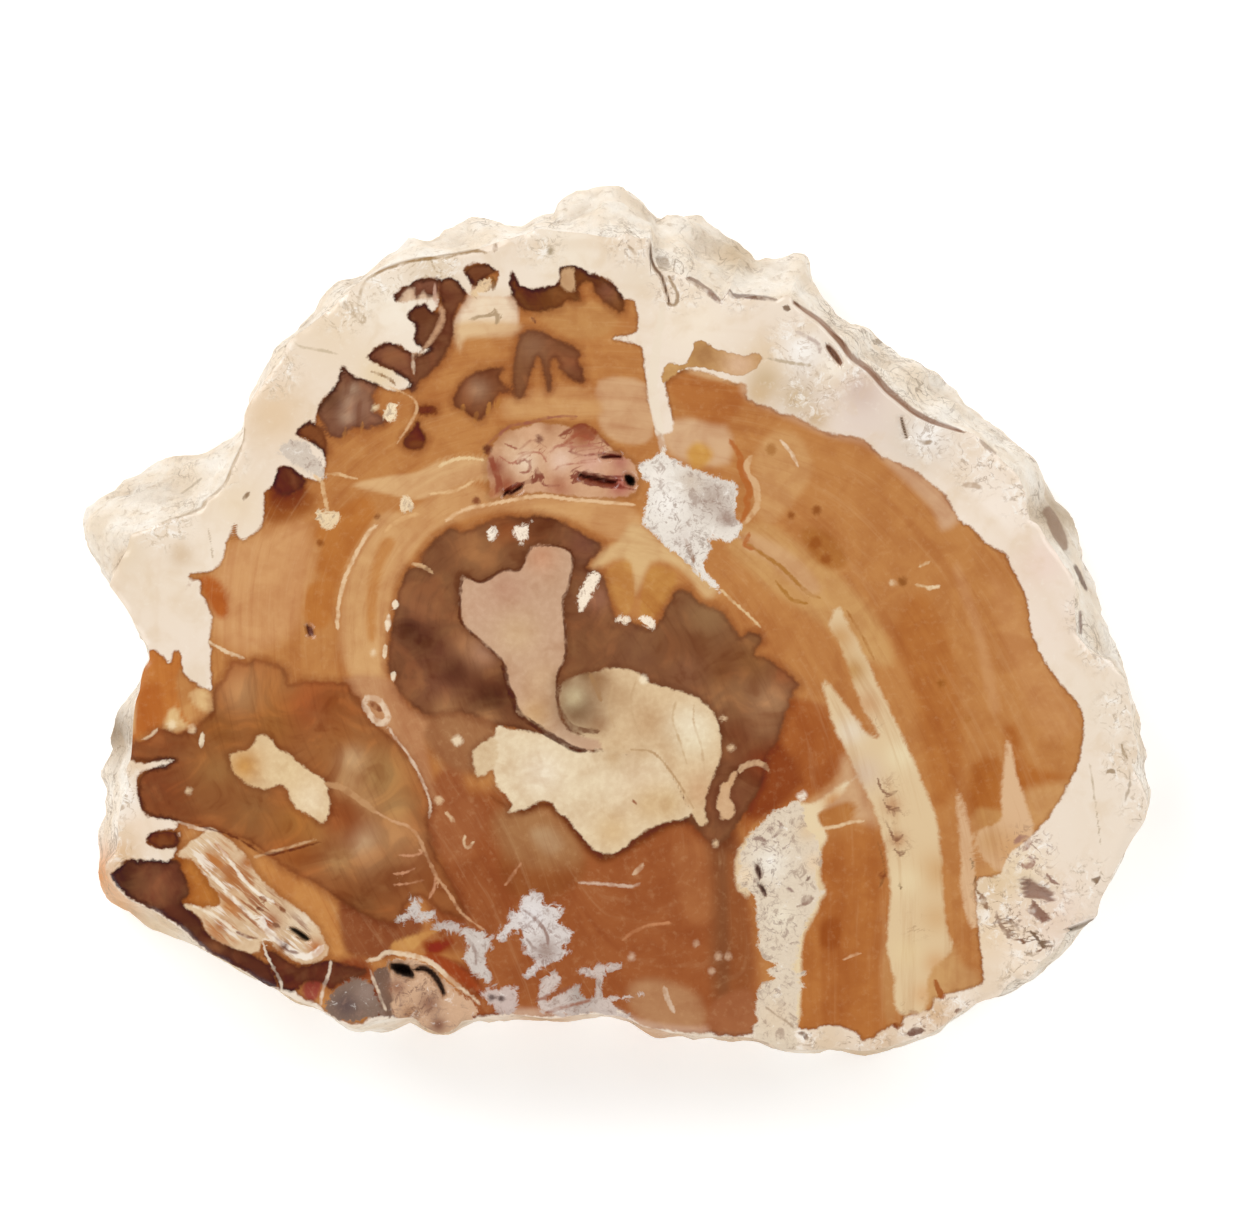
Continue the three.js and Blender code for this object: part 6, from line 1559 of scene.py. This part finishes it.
def marked_wood(tree, where, ragged_mm):
    """Colour of the agatised wood with all its markings, one laid over another where its depth
    is above nothing. Gives the colour and how crystalline and how open the surface is."""
    seen = Patterns(tree, where, ragged_mm)
    mottle = kept(tree, "mottle")
    banded = step(tree, seen.pale, -0.3, 0.3)
    crystal = step(tree, seen.quartz, -0.1, 0.25)
    colour = layered(tree, amber_wood(tree, seen, banded), (
        (seen.smoky, -0.3, 0.22, 0.0, 1.0, smoky_chalcedony(tree, where, seen), "MIX"),
        (seen.fossil, -0.9, -0.1, 0.0, 0.3, "#94562c", "MULTIPLY"),
        (seen.fossil, -0.18, 0.18, 0.0, 1.0, fossil_wood(tree, where, seen), "MIX"),
    ))
    outside = step(tree, seen.heart, -0.18, 0.16, 1.0, 0.0)
    bare_rind = times(tree, outside, step(tree, seen.fossil, -0.1, 0.1, 1.0, 0.0))
    colour = blend(tree, bare_rind, colour, cream_rind(tree, seen, mottle))
    colour = blend(tree, crystal, colour, frosty_quartz(tree, seen))

    # nets of fine cracks in the rind, the quartz and the pale wood
    brittle = maths(tree, "MAXIMUM", outside, maths(tree, "MAXIMUM", crystal, banded))
    net = times(tree, crack_net(tree, where, 1.9, 0.6, 0.9, 0.05, 0.65), mottle)
    net = times(tree, net, step(tree, seen.fine, 0.4, 0.58))
    colour = blend(tree, times(tree, net, brittle), colour, kept(tree, "mottle_tone", "Color"))

    openness = kept(tree, "openness")
    # the colour inside the pits and cracks laid over the face, darkest with painted shade
    colour = layered(tree, with_strokes(tree, where, seen, colour), (
        (openness, 0.15, 0.85, 0.0, 0.9, kept(tree, "open_colour_and_shade", "Color"), "MIX"),
    ))
    return colour, crystal, openness


def stone_finish(name, looks):
    """A stone's material. looks gives, for its node tree and Object coordinates, its colour,
    roughness and relief, and how strong and how many millimetres deep that relief is."""
    material, tree, shader = finish_named(name)
    where = add(tree, "ShaderNodeTexCoord").outputs["Object"]
    colour, roughness, relief, strength, depth_mm = looks(tree, where)
    bump = add(tree, "ShaderNodeBump", {"Strength": strength, "Distance": depth_mm * MM,
                                        "Height": relief})
    feed(tree, shader, {"Base Color": colour, "Roughness": roughness, "IOR": QUARTZ_IOR,
                        "Normal": bump.outputs[0]})
    return material


def polished_face(tree, where):
    """Agatised wood cut flat and polished: chalcedony, whose near-glassy gloss lies over deep
    amber, smoky brown and cream, with frosty crystal and open pits left matt."""
    colour, crystal, openness = marked_wood(tree, where, 0.85)
    gloss = 0.012  # what the polish mirrors of the sky, so the stone under it is that much deeper
    colour = blend(tree, 1.0, colour, np.full(3, gloss), "SUBTRACT")
    rough = maths(tree, "ADD", times(tree, crystal, 0.3), times(tree, openness, 0.4))
    relief = noise(tree, where, 0.6, 4, 0.65)
    strength = maths(tree, "ADD", times(tree, crystal, 0.35), 0.03)
    return colour, maths(tree, "ADD", rough, 0.24), relief, strength, 0.4


def weathered_skin(tree, where):
    """Outer skin of a fossil log, weathered and never cut: chalky cream-white silica, quite
    matt, with grey and tan along wandering cracks, and painted shade in its hollows."""
    broad = noise(tree, where, 5.0, 3, 0.6)
    grit = noise(tree, where, 1.1, 5, 0.7, 0.5)
    colour = layered(tree, kept(tree, "skin_tone", "Color"), (
        (broad, 0.3, 0.7, 0.0, 1.0, "#f3e9dc", "MULTIPLY"),
        (grit, 0.53, 0.7, 0.0, 0.62, "#c2ab90", "MIX"),
        (grit, 0.2, 0.42, 0.4, 0.0, "#fdfaf4", "MIX"),
        # painted shade: the hollows of the side are darkened towards grey-tan
        (kept(tree, "recess"), 0.1, 0.9, 0.0, 0.35, "#bfa688", "MIX"),
    ))
    patchy = step(tree, noise(tree, where, 9.0), 0.45, 0.6)
    for net, tint in ((crack_net(tree, where, 6.0, 0.55, 0.8, 0.02, 0.6), "#8f7458"),
                      (crack_net(tree, where, 2.2, 0.6, 0.9, 0.03, 0.5), "#a08a70")):
        colour = blend(tree, times(tree, net, patchy), colour, tint)
    # the skin's lines, and the colour inside pits and cracks, darkest with painted shade
    line_tone, open_colour_and_shade = kept(tree, "line_tone", "Color"), kept(tree, "open_colour_and_shade", "Color")
    colour = layered(tree, colour, (
        (stroke_room(tree, "line"), -0.15, 0.15, 0.0, 0.7, line_tone, "MIX"),
        (kept(tree, "openness"), 0.2, 0.9, 0.0, 0.8, open_colour_and_shade, "MIX"),
    ))
    return colour, 0.85, grit, 0.7, 0.6


def sawn_back(tree, where):
    """The same wood left as the saw cut it: dull, dusted paler, with broad faint waves where the
    blade wandered."""
    colour, _, _ = marked_wood(tree, where, 1.0)
    colour = blend(tree, 0.3, colour, "#d8c4a8")
    wave_mm = 8.8
    radians_per_metre = 20  # how fast a wave texture of scale 1 goes through its wave
    scale = 2 * math.pi / (wave_mm * MM * radians_per_metre)
    saw_marks = add(tree, "ShaderNodeTexWave", {"Vector": where, "Scale": scale,
                                                "Distortion": 1.5, "Detail": 2.0},
                    bands_direction="X").outputs["Fac"]
    colour = layered(tree, colour, ((saw_marks, 0.3, 1.0, 0.0, 0.15, "#efe4d4", "MIX"),))
    return colour, 0.7, saw_marks, 0.25, 0.1


def pale_floor():
    """A wide sheet of matt white board under the slice, faintly lit from beneath."""
    half = 3.0
    under = -0.0002
    mesh = bpy.data.meshes.new("floor")
    mesh.from_pydata([(-half, -half, under), (half, -half, under), (half, half, under),
                      (-half, half, under)], [], [(0, 1, 2, 3)])
    material, tree, shader = finish_named("matt white board")
    feed(tree, shader, {"Base Color": tone("#fbfbfa"), "Roughness": 0.9,
                        "Emission Color": np.ones(3), "Emission Strength": 0.25})
    mesh.materials.append(material)
    linked("floor", mesh)


def soft_box(name, place, watts):
    """A square lamp at a place in metres, facing the slice."""
    lamp = bpy.data.lights.new(name, "AREA")
    lamp.shape = "SQUARE"
    lamp.size = 0.9
    lamp.energy = watts
    held = linked(name, lamp)
    held.location = place
    x, y, z = place
    held.rotation_euler = (math.atan2(math.hypot(x, y), z), 0, math.atan2(x, -y))


def studio_light():
    """Four wide lamps standing round the slice and a dim even sky, so that the polished face
    has nothing bright straight above it to mirror."""
    soft_box("lamp upper left", (-0.75, 0.85, 0.95), 12)
    soft_box("lamp upper right", (0.95, 0.65, 0.9), 8.0)
    soft_box("lamp lower right", (0.7, -0.95, 0.9), 5.6)
    soft_box("lamp lower left", (-0.95, -0.7, 0.9), 6.6)
    world = bpy.data.worlds.new("studio sky")
    world.use_nodes = True
    background = world.node_tree.nodes["Background"]
    background.inputs["Color"].default_value = (1, 1, 1, 1)
    background.inputs["Strength"].default_value = 0.25
    bpy.context.scene.world = world


def camera_above():
    """A long lens looking straight down, framed as the photograph is: 9 of its 1234 pixels to a
    millimetre of the polished face, with its centre pixel 4 right of and 9 above the drawing's
    origin."""
    pixels_wide = 1234
    pixels_per_mm = 9
    right_mm, up_mm = 4 / 9, 9 / 9
    height_mm = 1200
    sensor_mm = 36
    shift = hidden_shift()
    lens = bpy.data.cameras.new("camera")
    lens.sensor_fit = "HORIZONTAL"
    lens.sensor_width = sensor_mm
    lens.lens = sensor_mm * height_mm / (pixels_wide / pixels_per_mm)
    camera = linked("camera", lens)
    camera.location = ((right_mm + shift[0]) * MM, (up_mm + shift[1]) * MM,
                       (THICKNESS + height_mm) * MM)
    bpy.context.scene.camera = camera


bpy.context.scene.view_settings.view_transform = "Standard"
slice_piece = build_slice([
    stone_finish("polished agatised wood", polished_face),
    stone_finish("weathered fossil skin", weathered_skin),
    stone_finish("sawn agatised wood", sawn_back),
])
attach(slice_piece, "root")
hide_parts(NODE)
pale_floor()
studio_light()
camera_above()
